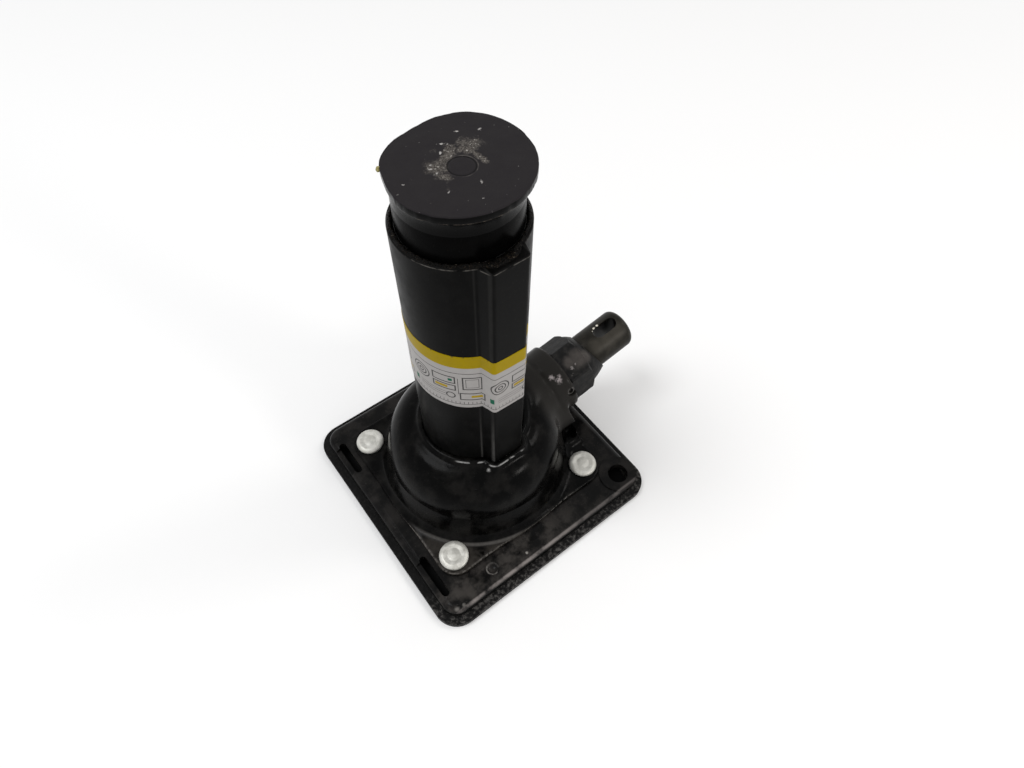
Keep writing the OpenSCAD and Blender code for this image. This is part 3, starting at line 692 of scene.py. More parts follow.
def phosphated_shaft():
    """Phosphated steel, dark olive brown and oily, with a paler patch of painted sheen on the -Y side of its
    top, painted shade near black inside the slot, and bright chips at the slot's rim."""
    f = Finish("phosphated_shaft")
    cloud = f.noise(4.5, 3.0, 0.6)
    fine = f.noise(0.4, 3.0)
    colour = f.between(f.step(cloud, 0.35, 0.7), grey(0.0075, 0.86, 0.60), grey(0.020, 0.88, 0.64))
    # Painted highlight: a paler sheen patch on the -Y side of the shaft's top.
    wear_and_sheen = f.drive_spots([(78.0, -34, 8.0), (84.0, -29, 7.5), (72.0, -30, 6.0)], SHAFT_R)
    colour = f.over(colour, f.step(wear_and_sheen, 0.0, 0.8), grey(0.060, 0.90, 0.74), 0.55)
    colour = f.over(colour, f.step(fine, 0.60, 0.72), grey(0.050, 0.9, 0.72), 0.25)
    near = f.drive_spots([(79.2, 21, 0.9), (77.0, 19, 1.0), (75.6, 12, 0.8)], 9.7)
    chips = f.chips(near, 1.0, f.times(fine, 0.5), 0.52, 0.66, reach=0.2, start=0.02)
    colour = f.over(colour, chips, grey(0.75, 0.95, 0.82))
    # Painted shade: inside the slot the colour turns near black.
    arm = f.vector("SUBTRACT", f.here, APEX * MM)
    along = f.vector("DOT_PRODUCT", arm, DRIVE, out="Value")
    off = f.vector("LENGTH", f.vector("CROSS_PRODUCT", arm, DRIVE), out="Value")
    inside = f.times(f.short_of(off, 8.8, 9.5), f.calc("LESS_THAN", along, 88 * MM))
    colour = f.over(colour, inside, grey(0.0015, 0.9, 0.75), 0.9)
    return f.done(Base_Color=colour, Metallic=0.10, Roughness=f.level(cloud, 0.32, 0.46),
                  Normal=f.bump(fine, 0.02), Specular_IOR_Level=0.12)


def chipped_gland():
    """Brown-black painted nut, its paint chipped to metal on the corners, with a painted highlight on the
    nose.
    """
    f = Finish("gland_chipped")
    cloud = f.noise(2.6, 4.0, 0.62)
    ragged = f.noise(0.9, 4.0, 0.7)
    # Painted highlight: a soft paler sheen on the nose's -Y side.
    wear_and_sheen = f.drive_spots([(59.4, -25, 6.5), (55.2, -21, 4.5), (63.0, -30, 5.0)], 13.0)
    wear_and_sheen = f.times(f.step(wear_and_sheen, 0.0, 0.7), f.level(cloud, 0.5, 1.3))
    near = f.drive_spots([(54.5, -33, 1.7), (52.7, -44, 1.9), (57.0, -30, 1.0), (51.5, -50, 1.0)], 13.8)
    chips = f.chips(near, 0.5, ragged, 0.74, 0.86, reach=0.2)
    colour = f.between(f.step(cloud, 0.4, 0.7), (0.00637, 0.00644, 0.0065, 1.0), grey(0.020, 0.95, 0.90))
    colour = f.over(colour, wear_and_sheen, grey(0.085, 0.89, 0.82), 0.75)
    colour = f.over(colour, f.step(ragged, 0.70, 0.75), grey(0.07, 0.93, 0.86), 0.35)
    colour = f.over(colour, f.times(chips, f.level(ragged, 0.2, 1.0)), grey(0.30, 0.92, 0.90))
    return f.done(Base_Color=colour, Roughness=f.level(cloud, 0.34, 0.5),
                  Normal=f.bump(f.noise(1.2, 4.0), 0.05), Specular_IOR_Level=0.09)


# Where the disc's paint is worn: middle, half length, half width, turn in degrees, share
WORN = [(0.8, 4.3, 5.6, 3.0, 59, 1.0), (7.4, 3.9, 6.6, 5.0, -36, 0.72), (4.0, 3.4, 3.6, 1.7, 12, 1.0),
        (6.3, -2.8, 5.2, 1.5, 95, 0.85), (5.6, 1.6, 3.2, 2.2, 10, 0.9), (-6.2, 0.8, 5.4, 4.6, -36, 0.85),
        (-6.7, -4.0, 4.8, 2.8, -60, 0.55), (-8.6, -8.6, 2.6, 1.5, 54, 0.45), (-2.6, 2.2, 4.4, 2.4, 30, 0.9),
        (-4.0, 6.5, 4.5, 3.0, 0, 0.3)]
# Chips down to bright metal, the same way, each of share 1
CHIPS = [(0.7, 8.6, 2.0, 0.7, -36), (2.0, 7.4, 1.0, 0.5, -10), (-6.9, 2.5, 1.0, 0.8, 20),
         (-8.0, 1.1, 1.1, 0.8, -30), (-7.4, -1.4, 1.1, 0.6, 40), (0.5, -11.3, 1.5, 0.85, 62),
         (-3.1, -17.0, 0.8, 0.45, -30), (-17.3, 0.1, 1.1, 0.6, -36), (7.4, 10.5, 1.3, 0.55, -36),
         (13.5, 7.6, 1.3, 0.55, 12), (-1.6, 5.6, 1.3, 0.7, 60), (-9.0, -9.6, 0.9, 0.45, 20)]


def worn_disc():
    """Matt black paint on the ram's disc, worn to dull metal in ragged patches round the centre rivet,
    chipped bright at a few points, dark in the rivet's groove, with a painted highlight as a pale broken ring
    just outside it, and worn brown along the lip's lower edge. Below the top the paint is near black: painted
    shade."""
    f = Finish("worn_disc")
    z = f.axes()[2]
    fine = f.noise(0.42, 4.0, 0.7)
    cloud = f.noise(6.0, 4.0, 0.6)
    ragged = f.noise(2.9, 6.0, 0.74)
    upward = f.past(z, CLOSED_H - 0.7, CLOSED_H - 0.3)

    def spot(cx, cy, long, wide, turn):
        """1 at a point of the disc, falling evenly to 0 at an ellipse."""
        put = {"Vector": f.here, "Location": (cx * MM, cy * MM, CLOSED_H * MM),
               "Rotation": (0.0, 0.0, math.radians(turn)), "Scale": (long * MM, wide * MM, 1.0)}
        put = f.add("Mapping", put, vector_type="TEXTURE")
        return f.most(f.rest(f.vector("LENGTH", put, out="Value")), 0.0)

    patch = f.most(0.0, *[f.times(spot(*ellipse), share) for *ellipse, share in WORN])
    near = f.most(0.0, *[spot(*ellipse) for ellipse in CHIPS])
    rivet = spot(*HEAD_RIVET, 8.0, 8.0, 0)
    groove = f.rest(f.step(f.off(rivet, 0.49), 0.01, 0.045))
    # Painted highlight: a thin pale broken ring just outside the rivet's groove on the top.
    painted_ring_glint = f.times(f.rest(f.step(f.off(rivet, 0.430), 0.006, 0.030)), upward, f.step(cloud, 0.40, 0.62))
    wear = f.step(f.plus(f.times(patch, 0.70), ragged), 0.63, 0.90)
    bare = f.times(wear, f.rest(f.times(f.step(rivet, 0.47, 0.53), 0.9)), upward)
    bright = f.times(f.chips(near, 0.5, f.noise(0.8, 4.0, 0.7), 0.74, 0.84, reach=0.2, start=0.02), upward)
    nicks = f.times(f.step(f.noise(1.0, 2.0, 0.5), 0.745, 0.775), upward)
    bits = f.times(f.step(f.noise(0.75, 3.0, 0.6), 0.60, 0.68), f.step(bare, 0.35, 0.9))
    lip = f.times(f.line(z, 181.65, 0.1, 0.5), f.step(ragged, 0.46, 0.60))

    paint = f.between(cloud, grey(0.0160, 0.88, 1.0), grey(0.0230, 0.92, 0.95))
    # Painted shade: off the top face, on the lip and flare, the paint turns near black.
    paint = f.between(upward, grey(0.0012), paint)
    metal = f.between(f.step(fine, 0.38, 0.64), grey(0.030, 0.86, 0.74), grey(0.17, 0.91, 0.82))
    colour = f.over(paint, f.times(bare, f.level(ragged, 0.35, 1.1)), metal)
    colour = f.over(colour, bits, grey(0.42, 0.95, 0.88), 0.8)
    broken = f.level(f.step(ragged, 0.42, 0.58), 0.35, 0.9)
    colour = f.over(colour, f.times(bright, broken), grey(0.45, 0.96, 0.92))
    colour = f.over(colour, nicks, grey(0.24, 0.97, 0.92), 0.5)
    colour = f.over(colour, painted_ring_glint, grey(0.12, 0.92, 0.84), 0.7)
    colour = f.over(colour, groove, grey(0.004), 0.7)
    colour = f.over(colour, lip, grey(0.12, 0.84, 0.68), 0.8)
    rough = f.plus(f.level(upward, 0.14, 0.50), f.times(fine, 0.08))
    height = f.less(f.times(fine, 0.35), f.times(bare, 0.8))
    return f.done(Base_Color=colour, Roughness=rough, Normal=f.bump(height, 0.10), Specular_IOR_Level=0.04)


def printed_film():
    """Printed film: a yellow band over a pale grey one, ruled in thin dark lines with plain boxes, rings, a
    scale of ticks, amber bars and green tabs, over and over at 31 mm. The print follows the label's own
    millimetres, u along it and v up it, which the mesh keeps in print_mm."""
    f = Finish("printed_film")
    along, v = f.axes(f.add("Attribute", out="Vector", attribute_name="print_mm"))[:2]
    u = f.calc("MODULO", f.plus(along, 2.0), 31.0)

    def under(value, limit):
        return f.calc("LESS_THAN", value, limit)

    def outside(cu, cv, half_u, half_v):
        """How far a place is outside a box, negative within it."""
        return f.most(f.less(f.off(u, cu), half_u), f.less(f.off(v, cv), half_v))

    def stroke(value, at, half):
        """1 on a line that is twice half wide."""
        return under(f.off(value, at), half)

    def stretch(value, at, half, start, end):
        """1 on a line that ends at two values of the other direction."""
        other = u if value is v else v
        return f.times(stroke(value, at, half), stroke(other, (start + end) / 2, (end - start) / 2))

    def from_point(cu, cv):
        squares = [f.calc("POWER", f.less(value, middle), 2.0) for value, middle in ((u, cu), (v, cv))]
        return f.calc("SQRT", f.plus(*squares))

    rules = [stroke(v, height, 0.16) for height in (21.6, 2.0)]
    ticks = f.times(under(f.calc("MODULO", u, 1.55), 0.22), stroke(v, 2.9, 0.7))
    boxes = [stroke(outside(*box), 0.0, half) for *box, half in
             ((6.0, 15.5, 3.4, 3.6, 0.26), (6.0, 15.5, 2.3, 2.5, 0.11), (16.5, 17.0, 4.2, 1.9, 0.26),
              (16.5, 12.2, 4.2, 1.5, 0.26), (6.0, 7.2, 4.6, 2.0, 0.26))]
    rings = [stroke(from_point(cu, cv), radius, 0.25) for cu, cv, radius in
             ((26.0, 15.3, 3.6), (26.0, 15.3, 2.2), (26.0, 15.3, 0.9), (14.2, 7.2, 1.6))]
    links = [stretch(v, height, half, 15.9, 27.1) for height, half in ((7.2, 0.12), (5.9, 0.10), (8.5, 0.10))]
    ink = f.most(*rules, ticks, *boxes, *rings, *links, stretch(u, 11.2, 0.12, 8.5, 18.5))
    amber = f.most(*[under(outside(*box), 0.0) for box in ((17.6, 12.2, 2.4, 0.75), (4.4, 7.2, 2.2, 0.7))])
    green = f.most(*[under(outside(*box), 0.0) for box in ((14.0, 17.0, 0.75, 0.75), (29.3, 7.2, 0.8, 1.5))])

    smear = f.noise(2.6, 4.0, 0.6)
    fade = f.noise(0.9, 3.0, 0.6)
    colour = f.between(smear, grey(0.33, 0.955, 0.93), grey(0.41, 0.965, 0.94))
    colour = f.over(colour, amber, (0.36, 0.25, 0.020, 1.0))
    colour = f.over(colour, green, (0.015, 0.11, 0.065, 1.0))
    colour = f.over(colour, f.times(ink, f.level(fade, 0.8, 0.97)), grey(0.02))
    yellow = f.between(smear, (0.29, 0.205, 0.0, 1.0), (0.35, 0.25, 0.0, 1.0))
    colour = f.over(colour, f.calc("GREATER_THAN", v, 24.9), yellow)
    beyond = f.calc("GREATER_THAN", f.off(v, (LABEL_TOP - LABEL_FOOT) / 2), 15.2)
    colour = f.over(colour, f.times(f.step(f.noise(1.6, 3.0), 0.60, 0.68), beyond), grey(0.03), 0.7)
    return f.done(Base_Color=colour, Roughness=f.level(smear, 0.30, 0.44),
                  Normal=f.bump(f.noise(4.0, 2.0), 0.05), Specular_IOR_Level=0.05)


def dried_sealant():
    """Yellowish sealant, clouded."""
    f = Finish("dried_sealant")
    cloud = f.noise(0.6, 3.0)
    tint = f.between(cloud, (0.16, 0.13, 0.035, 1.0), (0.34, 0.30, 0.10, 1.0))
    return f.done(Base_Color=tint, Roughness=f.level(cloud, 0.4, 0.6), Normal=f.bump(cloud, 0.08))


# ---- base ------------------------------------------------------------------

def pressed_tray():
    """The CAD tray's own shape with its sharp edges rounded: points merged, flat neighbours made one face,
    and a bevel on every edge sharper than 30 degrees."""
    mesh = node["base_plate"].data.copy()
    mesh.name = "pressed_tray"
    bm = bmesh.new()
    bm.from_mesh(mesh)
    bmesh.ops.remove_doubles(bm, verts=bm.verts, dist=2e-6)
    bmesh.ops.dissolve_limit(bm, angle_limit=math.radians(0.5), verts=bm.verts, edges=bm.edges)
    bm.to_mesh(mesh)
    bm.free()
    mesh.normals_split_custom_set([(0.0, 0.0, 0.0)] * len(mesh.loops))
    piece = place(mesh, tray_enamel(), "frame", ["base_plate"])
    bevel = piece.modifiers.new("edge", "BEVEL")
    bevel.width = 0.35 * MM
    bevel.segments = 3
    bevel.limit_method = "ANGLE"
    bevel.angle_limit = math.radians(30)
    bevel.use_clamp_overlap = True
    bevel.harden_normals = False


def rivet_heads():
    """Four flat rivets: a profile with a rolled edge and a punched hollow, turned about each rivet's axis,
    its top moved by lumps up to 0.08 mm and its outline by up to 1.2 percent. Each has a closed tail under
    the sheet."""
    shank_r, shank_top = 4.0, 8.6
    sheet_under, tail_foot, tail_r = PLATFORM_H - SHEET_T, PLATFORM_H - 5.6, 6.2
    head = [(0, shank_top), (shank_r, shank_top), (shank_r, FLANGE_TOP), (6.5, FLANGE_TOP), (6.65, 12.0),
            (6.65, 12.7), (6.5, 13.1), (6.15, 13.42), (5.6, 13.68), (5.1, 13.86), (4.7, 13.92), (4.3, 13.84),
            (3.5, 13.82), (3.2, 13.74), (2.8, 13.74), (2.5, 13.84), (0, 13.9)]
    tail = [(0, tail_foot), (tail_r, tail_foot), (tail_r, sheet_under - 0.2), (shank_r, sheet_under),
            (shank_r, shank_top), (0, shank_top)]
    patches = []
    for i, (x, y) in enumerate(RIVETS):
        grid = lathe(head, 72, (x, y))
        raised = np.clip((grid[..., 2] - 12.4) / 1.2, 0, 1)
        grid[..., 2] += 0.08 * raised * lumps(grid, 2.2, 40 + i)
        spread = 1 + 0.012 * lumps(grid * [0.4, 0.4, 0], 3.0, 60 + i)
        grid[..., 0] = x + (grid[..., 0] - x) * spread
        grid[..., 1] = y + (grid[..., 1] - y) * spread
        patches += [(grid, False, True), (lathe(tail, 72, (x, y)), False, True)]
    place(sealed("rivet_heads", patches), plated_rivet(), "frame", ["base_rivets"])


# ---- housing ---------------------------------------------------------------

def cast_housing():
    """The housing's distance function made a mesh."""
    points, quads = shell_of(housing_distance, (-47.0, -46.3, 8.2), (55.0, 46.9, 55.0), 0.8)
    mesh = mesh_of("cast_housing", points, quads)
    place(mesh, casting_enamel(), "frame", ["gear_housing"], 50.0)


# ---- column ----------------------------------------------------------------

def column_tube():
    """Outline carried up the tube, over a rounded rim that lumps lower by up to 0.2 mm, and down the bore;
    the bore is the circle joined with the keyway's channel below its closed top."""
    outer, normal = tube_outline()
    turn = np.arctan2(outer[:, 1], outer[:, 0])
    ray = np.stack([np.cos(turn), np.sin(turn)], -1)
    keyway = (outer[:, 1] < -18.0) & (np.abs(outer[:, 0] - RIB_X) < CHANNEL_HALF)
    reach = np.where(keyway, CHANNEL_FACE / np.maximum(-np.sin(turn), 0.1), TUBE_BORE_R)
    channel = reach[:, None] * ray

    def at(xy, z):
        return np.concatenate([xy, np.full((len(xy), 1), z)], 1)

    rows = [at(outer, z) for z in (TUBE_FOOT, *np.linspace(50, RIM_H - 1.0, 24))]
    rows += [at(outer - inset * normal, RIM_H - drop)
             for inset, drop in ((0.0, 0.5), (0.12, 0.2), (0.35, 0.03), (0.7, 0.0))]
    rows += [at((TUBE_BORE_R + more) * ray, RIM_H - drop)
             for more, drop in ((0.5, 0.0), (0.12, 0.1), (0.0, 0.4))]
    rows += [at(TUBE_BORE_R * ray, CHANNEL_TOP), at(channel, CHANNEL_TOP - 0.01), at(channel, TUBE_FOOT)]
    grid = np.stack(rows)
    grid[..., 2] -= np.where(grid[..., 2] > RIM_H - 1.2, 0.10 + 0.10 * lumps(grid, 7.0, 5), 0.0)
    mesh = sealed("column_tube", [(grid, True, True)])
    place(mesh, tube_enamel(), "frame", ["outer_tube"], 40.0)


def printed_label():
    """Film that follows the tube's outline about 0.15 mm proud, from the rib's +X side over the rib and
    round by -X; its ends have round corners, it climbs slightly along its length, and its height and lift
    waver."""
    start_turn, end_turn, corner_r = -47.0, -240.0, 3.0
    outline, normal = tube_outline()
    turn = np.degrees(np.arctan2(outline[:, 1], outline[:, 0]))
    turn = np.where(turn > start_turn, turn - 360.0, turn)
    order = np.argsort(-turn)
    keep = order[turn[order] >= end_turn]
    run = run_of(outline[keep])
    even = np.linspace(0, run[-1], 420)
    line = values_at(even, run, outline[keep])
    out = values_at(even, run, normal[keep])
    out /= np.linalg.norm(out, axis=1)[:, None]
    near_end = np.minimum(even, even[-1] - even)
    inward = corner_r - near_end
    notch = np.where(inward > 0, corner_r - np.sqrt(np.maximum(corner_r ** 2 - inward ** 2, 0)), 0)
    waver = 0.12 * np.sin(even / 9.0) + 0.05 * np.sin(even / 2.3)
    slope = 0.05 * even - 1.8 - 0.9 * np.clip((32.0 - even) / 12.0, 0, 1)
    foot, top = LABEL_FOOT + notch + waver + slope, LABEL_TOP - notch + 0.6 * waver + slope
    up = [(0.0, 0.0), (0.0, 0.8), *[(t, 1.0) for t in np.linspace(0.004, 0.996, 24)], (1.0, 0.8), (1.0, 0.0)]
    rows, marks = [], []
    for share, lift in up:
        z = foot + share * (top - foot)
        thick = LABEL_T * lift * (0.75 + 0.2 * np.sin(even / 5.0 + 6 * share)) * (near_end >= 0.01)
        rows.append(np.stack([line[:, 0] + out[:, 0] * thick, line[:, 1] + out[:, 1] * thick, z], -1))
        marks.append(np.stack([even, z - LABEL_FOOT - slope, 0 * z], -1))
    mesh = mesh_of("printed_label", *joined([(np.stack(rows), True, False)]))
    marked = mesh.attributes.new("print_mm", "FLOAT_VECTOR", "POINT")
    marked.data.foreach_set("vector", np.stack(marks).reshape(-1).astype(np.float32))
    place(mesh, printed_film(), "frame", ["label_band"], 60.0)


def grit_ring():
    """Ring of gritty grease pressed over the wiper and the rim: an arch between ram and tube, raised by
    lumps of three sizes and wandering in width; it spreads over the rib's closed top."""
    turn = np.linspace(0, 2 * np.pi, 420, endpoint=False)
    share = np.linspace(0, 1, 14)[:, None]
    wander = lumps(round_the_axis(21.0, turn, 0.0), 6.0, 11)
    rib = np.exp(-((turn - 1.5 * np.pi) / 0.30) ** 4)
    outer = TUBE_R - 0.4 + 0.35 * wander + 2.3 * rib
    inner = RAM_R + 0.10
    r = inner + (outer - inner) * share
    arch = np.sin(np.pi * share ** 0.8)
    grid = round_the_axis(r, turn, RIM_H - 0.7 + (0.9 + 0.35 * wander) * arch + 0.6 * share)
    body = np.clip(arch * 1.6, 0, 1)
    grains = 0.30 * lumps(grid, 1.6, 12) + 0.22 * lumps(grid, 0.8, 13) + 0.12 * lumps(grid, 0.45, 14)
    grid[..., 2] += body * grains
    under = round_the_axis(r, turn, RIM_H - 1.7)[::-1]
    mesh = sealed("grit_ring", [(np.concatenate([grid, under]), True, True)])
    place(mesh, gritty_grease(), "frame", (), 80.0)


# ---- ram -------------------------------------------------------------------

def ram_sleeve():
    """Ram tube: a profile with a chamfered foot turned about the lift axis, its outside faintly ringed by
    use."""
    heights = np.linspace(RAM_FOOT + 1.0, FLARE_FOOT - 0.3, 90)
    outer = [(RAM_R - 0.012 * (1 + math.sin(z * 2.1) * math.sin(z * 0.37)), z) for z in heights]
    profile = [(RAM_BORE_R, RAM_FOOT), (RAM_R - 0.6, RAM_FOOT), (RAM_R - 0.1, RAM_FOOT + 0.6), *outer,
               (RAM_R - 0.02, FLARE_FOOT), (RAM_BORE_R, FLARE_FOOT)]
    mesh = sealed("ram_sleeve", [(lathe(profile, 160), True, True)])
    place(mesh, ram_paint(), "ram", ["ram_tube"])


# The hammered disc's outline: angle in degrees, radius
HEAD_OUTLINE = [(-180, 21.4), (-160, 22.6), (-130, 22.8), (30, 22.8), (48, 22.6), (61, 21.5), (77, 20.6),
                (90, 19.5), (105, 19.4), (119, 20.3), (128, 20.7), (137, 21.1), (148, 21.3), (158, 21.0),
                (169, 20.9), (180, 21.4)]


def disc_edge(turn):
    """Radius of the disc's outline at each angle: the outline's straight runs smoothed by a rounded window
    25 steps wide, moved by lumps and held within 22.95 mm."""
    angle, reach = np.array(HEAD_OUTLINE, float).T
    edge = np.interp(np.degrees(turn), angle, reach)
    window = np.hanning(25) / np.hanning(25).sum()
    edge = np.convolve(np.concatenate([edge[-12:], edge, edge[:12]]), window, "valid")
    rim = round_the_axis(edge, turn, 0.0)
    return np.minimum(edge + 0.12 * lumps(rim, 2.5, 21) + 0.07 * lumps(rim, 0.9, 22) + 0.12, 22.95)


def ram_disc():
    """Hammered disc on the ram: a flared neck and a lip carried round an uneven outline, with a top that
    sinks and rises by lumps and a groove round the centre rivet."""
    columns = 384
    turn = np.linspace(-np.pi, np.pi, columns, endpoint=False)
    flare = disc_edge(turn) - 0.9
    rows = [(RAM_BORE_R, SPIGOT_FOOT), (RAM_BORE_R, FLARE_FOOT)]
    for a in np.radians(np.linspace(0, 90, 10)):
        share = 1 - math.cos(a)
        rows.append(((RAM_R - 0.02) * (1 - share) + flare * share, FLARE_FOOT + 0.02 + 6.9 * math.sin(a)))
    rows += [(flare + out, z) for out, z in ((0.45, 181.55), (0.82, 181.7), (0.94, 182.0), (0.9, 183.8))]
    round_r, top_z = 0.32, CLOSED_H - 0.15
    for a in np.radians(np.linspace(15, 90, 6)):
        rows.append((flare + 0.9 - round_r * (1 - math.cos(a)), top_z - round_r * (1 - math.sin(a))))
    rows += [((flare + 0.9 - round_r) * share, top_z) for share in np.linspace(0.985, 0.0, 70)]
    grid = np.stack([round_the_axis(np.broadcast_to(r, columns), turn, z) for r, z in rows])
    x, y = grid[..., 0], grid[..., 1]
    top = np.clip((grid[..., 2] - (CLOSED_H - 0.6)) / 0.4, 0, 1)
    flat = grid * [1, 1, 0]
    from_rivet = np.hypot(x - HEAD_RIVET[0], y - HEAD_RIVET[1])
    groove = 0.16 * np.exp(-((from_rivet - 4.05) / 0.28) ** 2)
    hollow = 0.12 * np.exp(-((x - 0.5) ** 2 + (y - 3.5) ** 2) / 60)
    pole = np.clip(np.hypot(x, y) / 1.5, 0, 1)
    rough = 0.05 * lumps(flat, 7.0, 23) + 0.03 * lumps(flat, 1.8, 24) * pole
    grid[..., 2] += top * (rough - groove - hollow + 0.02)
    grid[..., 2] = np.minimum(grid[..., 2], CLOSED_H)
    foot = np.roll(lathe([(0, SPIGOT_FOOT), (RAM_BORE_R, SPIGOT_FOOT)], columns), columns // 2, 1)
    mesh = sealed("ram_disc", [(grid, False, True), (foot, False, True)])
    place(mesh, worn_disc(), "ram", ["ram_head", "head_rivet"], 45.0)


def sealant_drop():
    """Dried drop of sealant on the disc's edge: a sphere flattened and pushed about by lumps."""
    down = np.linspace(0, np.pi, 20)[:, None]
    turn = np.linspace(0, 2 * np.pi, 32, endpoint=False)
    ball = round_the_axis(np.sin(down), turn, np.cos(down))
    size = 1.0 + 0.25 * lumps(ball, 0.8, 31)[..., None]
    grid = ball * size * [0.85, 0.85, 0.72] + [-18.8, 10.45, 183.55]
    place(sealed("sealant_drop", [(grid, False, True)]), dried_sealant(), "ram")


# ---- drive shaft -----------------------------------------------------------

def gland_hex():
    """Hexagonal nut: at each angle its radius is the smallest of the hexagon, its chamfer cones and the
    turned corner. A domed nose follows, whose radius falls from 13.3 by 2.7 t^1.35 as t runs from the
    hexagon to the slanting end at s = 69.3 - 3.5 cos(angle) - 0.8 sin(angle)."""
    columns = 360
    turn = np.linspace(-np.pi, np.pi, columns, endpoint=False)
    across_flats, corner_r = 27.2, 15.45
    wedge = np.mod(turn - math.radians(8.0), math.pi / 3) - math.pi / 6
    hexagon = np.minimum(across_flats / 2 / np.cos(wedge), corner_r)
    foot, nose, nose_r = 50.05, 62.65, 13.3
    end = 69.3 - 3.5 * np.cos(turn) - 0.8 * np.sin(turn)
    rows = [(45.6, 9.95), (45.6, 12.1), (46.0, 12.45), (50.0, 12.45), (foot, 12.6)]
    rows += [(s, np.minimum(hexagon, 14.5 + (s - foot) * 1.5)) for s in (foot, 50.3, 50.6, 50.9, 51.2)]
    rows += [(s, np.minimum(hexagon, 15.6 - np.maximum(s - 61.0, 0) * 1.1))
             for s in np.linspace(52, 62.4, 24)]
    rows += [(62.5, nose_r + 0.25), (nose, nose_r)]
    rows += [(nose + t * (end - nose), nose_r - 2.7 * t ** 1.35) for t in np.linspace(0.08, 1.0, 14)]
    rows += [(end + 0.10, 10.45), (end + 0.12, 10.25), (end + 0.05, 10.05), (end - 0.25, 9.87), (60.0, 9.87)]
    grid = np.stack([on_drive(s, r, turn) for s, r in rows])
    s = np.stack([np.broadcast_to(s, columns) for s, r in rows])
    worn = 0.05 * lumps(grid, 2.4, 51) + 0.03 * lumps(grid, 0.9, 52) - 0.03
    outward = grid - (APEX + s[..., None] * DRIVE)
    outward /= np.linalg.norm(outward, axis=-1)[..., None]
    grid = grid + np.where(s > 50.2, worn, 0.0)[..., None] * outward
    mesh = sealed("gland_hex", [(grid, True, True)])
    place(mesh, chipped_gland(), "frame", ["gland_nut"], 28.0)


def slotted_shaft():
    """Turned shaft with a round-ended slot straight through: rings fore and aft of the slot follow its
    round ends, plain rings stand beside it, and its walls run from one side's edge to the other's. The
    slot's edge is eased."""
    half, first, last, ease = 3.0, 77.5, 84.5, 0.35
    plain_end, tip_start, tip, tip_long, tip_deep = 73.45, 88.4, 92.0, 3.6, 4.2
    open_half = half + ease
    limit = math.asin(open_half / SHAFT_R)
    across = np.linspace(-limit, limit, 41)
    beside = np.linspace(limit, np.pi - limit, 61)
    turn = np.concatenate([across, beside[1:-1], across + np.pi, beside[1:-1] + np.pi])
    y = SHAFT_R * np.sin(turn)
    bulge = np.where(np.abs(y) <= open_half + 1e-9, np.sqrt(np.maximum(open_half ** 2 - y ** 2, 0)), 0.0)
    ramp = np.linspace(0, 1, 14)
    back = [(15.5, 0.0), (15.5, 4.2), (15.8, 4.5), (32.5, 4.5), (32.5, 9.3), (32.8, JOURNAL_R),
            (44.2, JOURNAL_R), (44.2, 8.75), (45.4, 8.75), (45.4, JOURNAL_R), (63.0, JOURNAL_R),
            (63.3, SHAFT_R), (plain_end, SHAFT_R)]
    fore = [on_drive(s, r, turn) for s, r in back]
    fore += [on_drive(plain_end + t * (first - bulge - plain_end), SHAFT_R, turn) for t in ramp[1:]]
    aft = [on_drive(last + bulge + t * (tip_start - last - bulge), SHAFT_R, turn) for t in ramp]
    aft += [on_drive(tip - tip_long * (1 - math.sin(a)), SHAFT_R - tip_deep * (1 - math.cos(a)), turn)
            for a in np.radians(np.linspace(6, 90, 14))]
    dish = [(tip, 5.3), (91.93, 4.9), (91.85, 3.0), (91.85, 1.2), (91.4, 0.8), (91.2, 0.0)]
    aft += [on_drive(s, r, turn) for s, r in dish]
    side = np.linspace(first, last, 12)
    patches = [(np.stack(fore), False, True), (np.stack(aft), False, True)]
    patches += [(on_drive(side[:, None], SHAFT_R, beside + half_turn), False, False)
                for half_turn in (0.0, np.pi)]

    def slot_outline(grow):
        """Distances along the shaft and sideways round the slot's outline, in the order of the openings'
        points."""
        w = half + grow
        sideways = SHAFT_R * np.sin(across) * (w / open_half)
        round_end = np.sqrt(np.maximum(w * w - sideways ** 2, 0))
        straight = np.full(10, w)
        s = np.concatenate([first - round_end, side[1:-1], (last + round_end)[::-1], side[1:-1][::-1]])
        return s, np.concatenate([sideways, straight, sideways[::-1], -straight])

    walls = []
    for grow, drop in ((ease, 0.0), (0.16, 0.04), (0.05, 0.15), (0.0, 0.36)):
        s, y = slot_outline(grow)
        walls.append((s, y, np.sqrt(SHAFT_R ** 2 - y * y) - drop))
    s, y, top = walls[-1]
    walls += [(s, y, top * t) for t in np.linspace(0.85, -0.85, 12)]
    walls += [(s, y, -z) for s, y, z in walls[3::-1]]
    wall = [APEX + s[:, None] * DRIVE + y[:, None] * SIDE + z[:, None] * DRIVE_UP for s, y, z in walls]
    patches.append((np.stack(wall), False, True))
    mesh = sealed("slotted_shaft", patches, 8e-6)
    place(mesh, phosphated_shaft(), "drive_shaft", ["input_shaft"], 35.0)


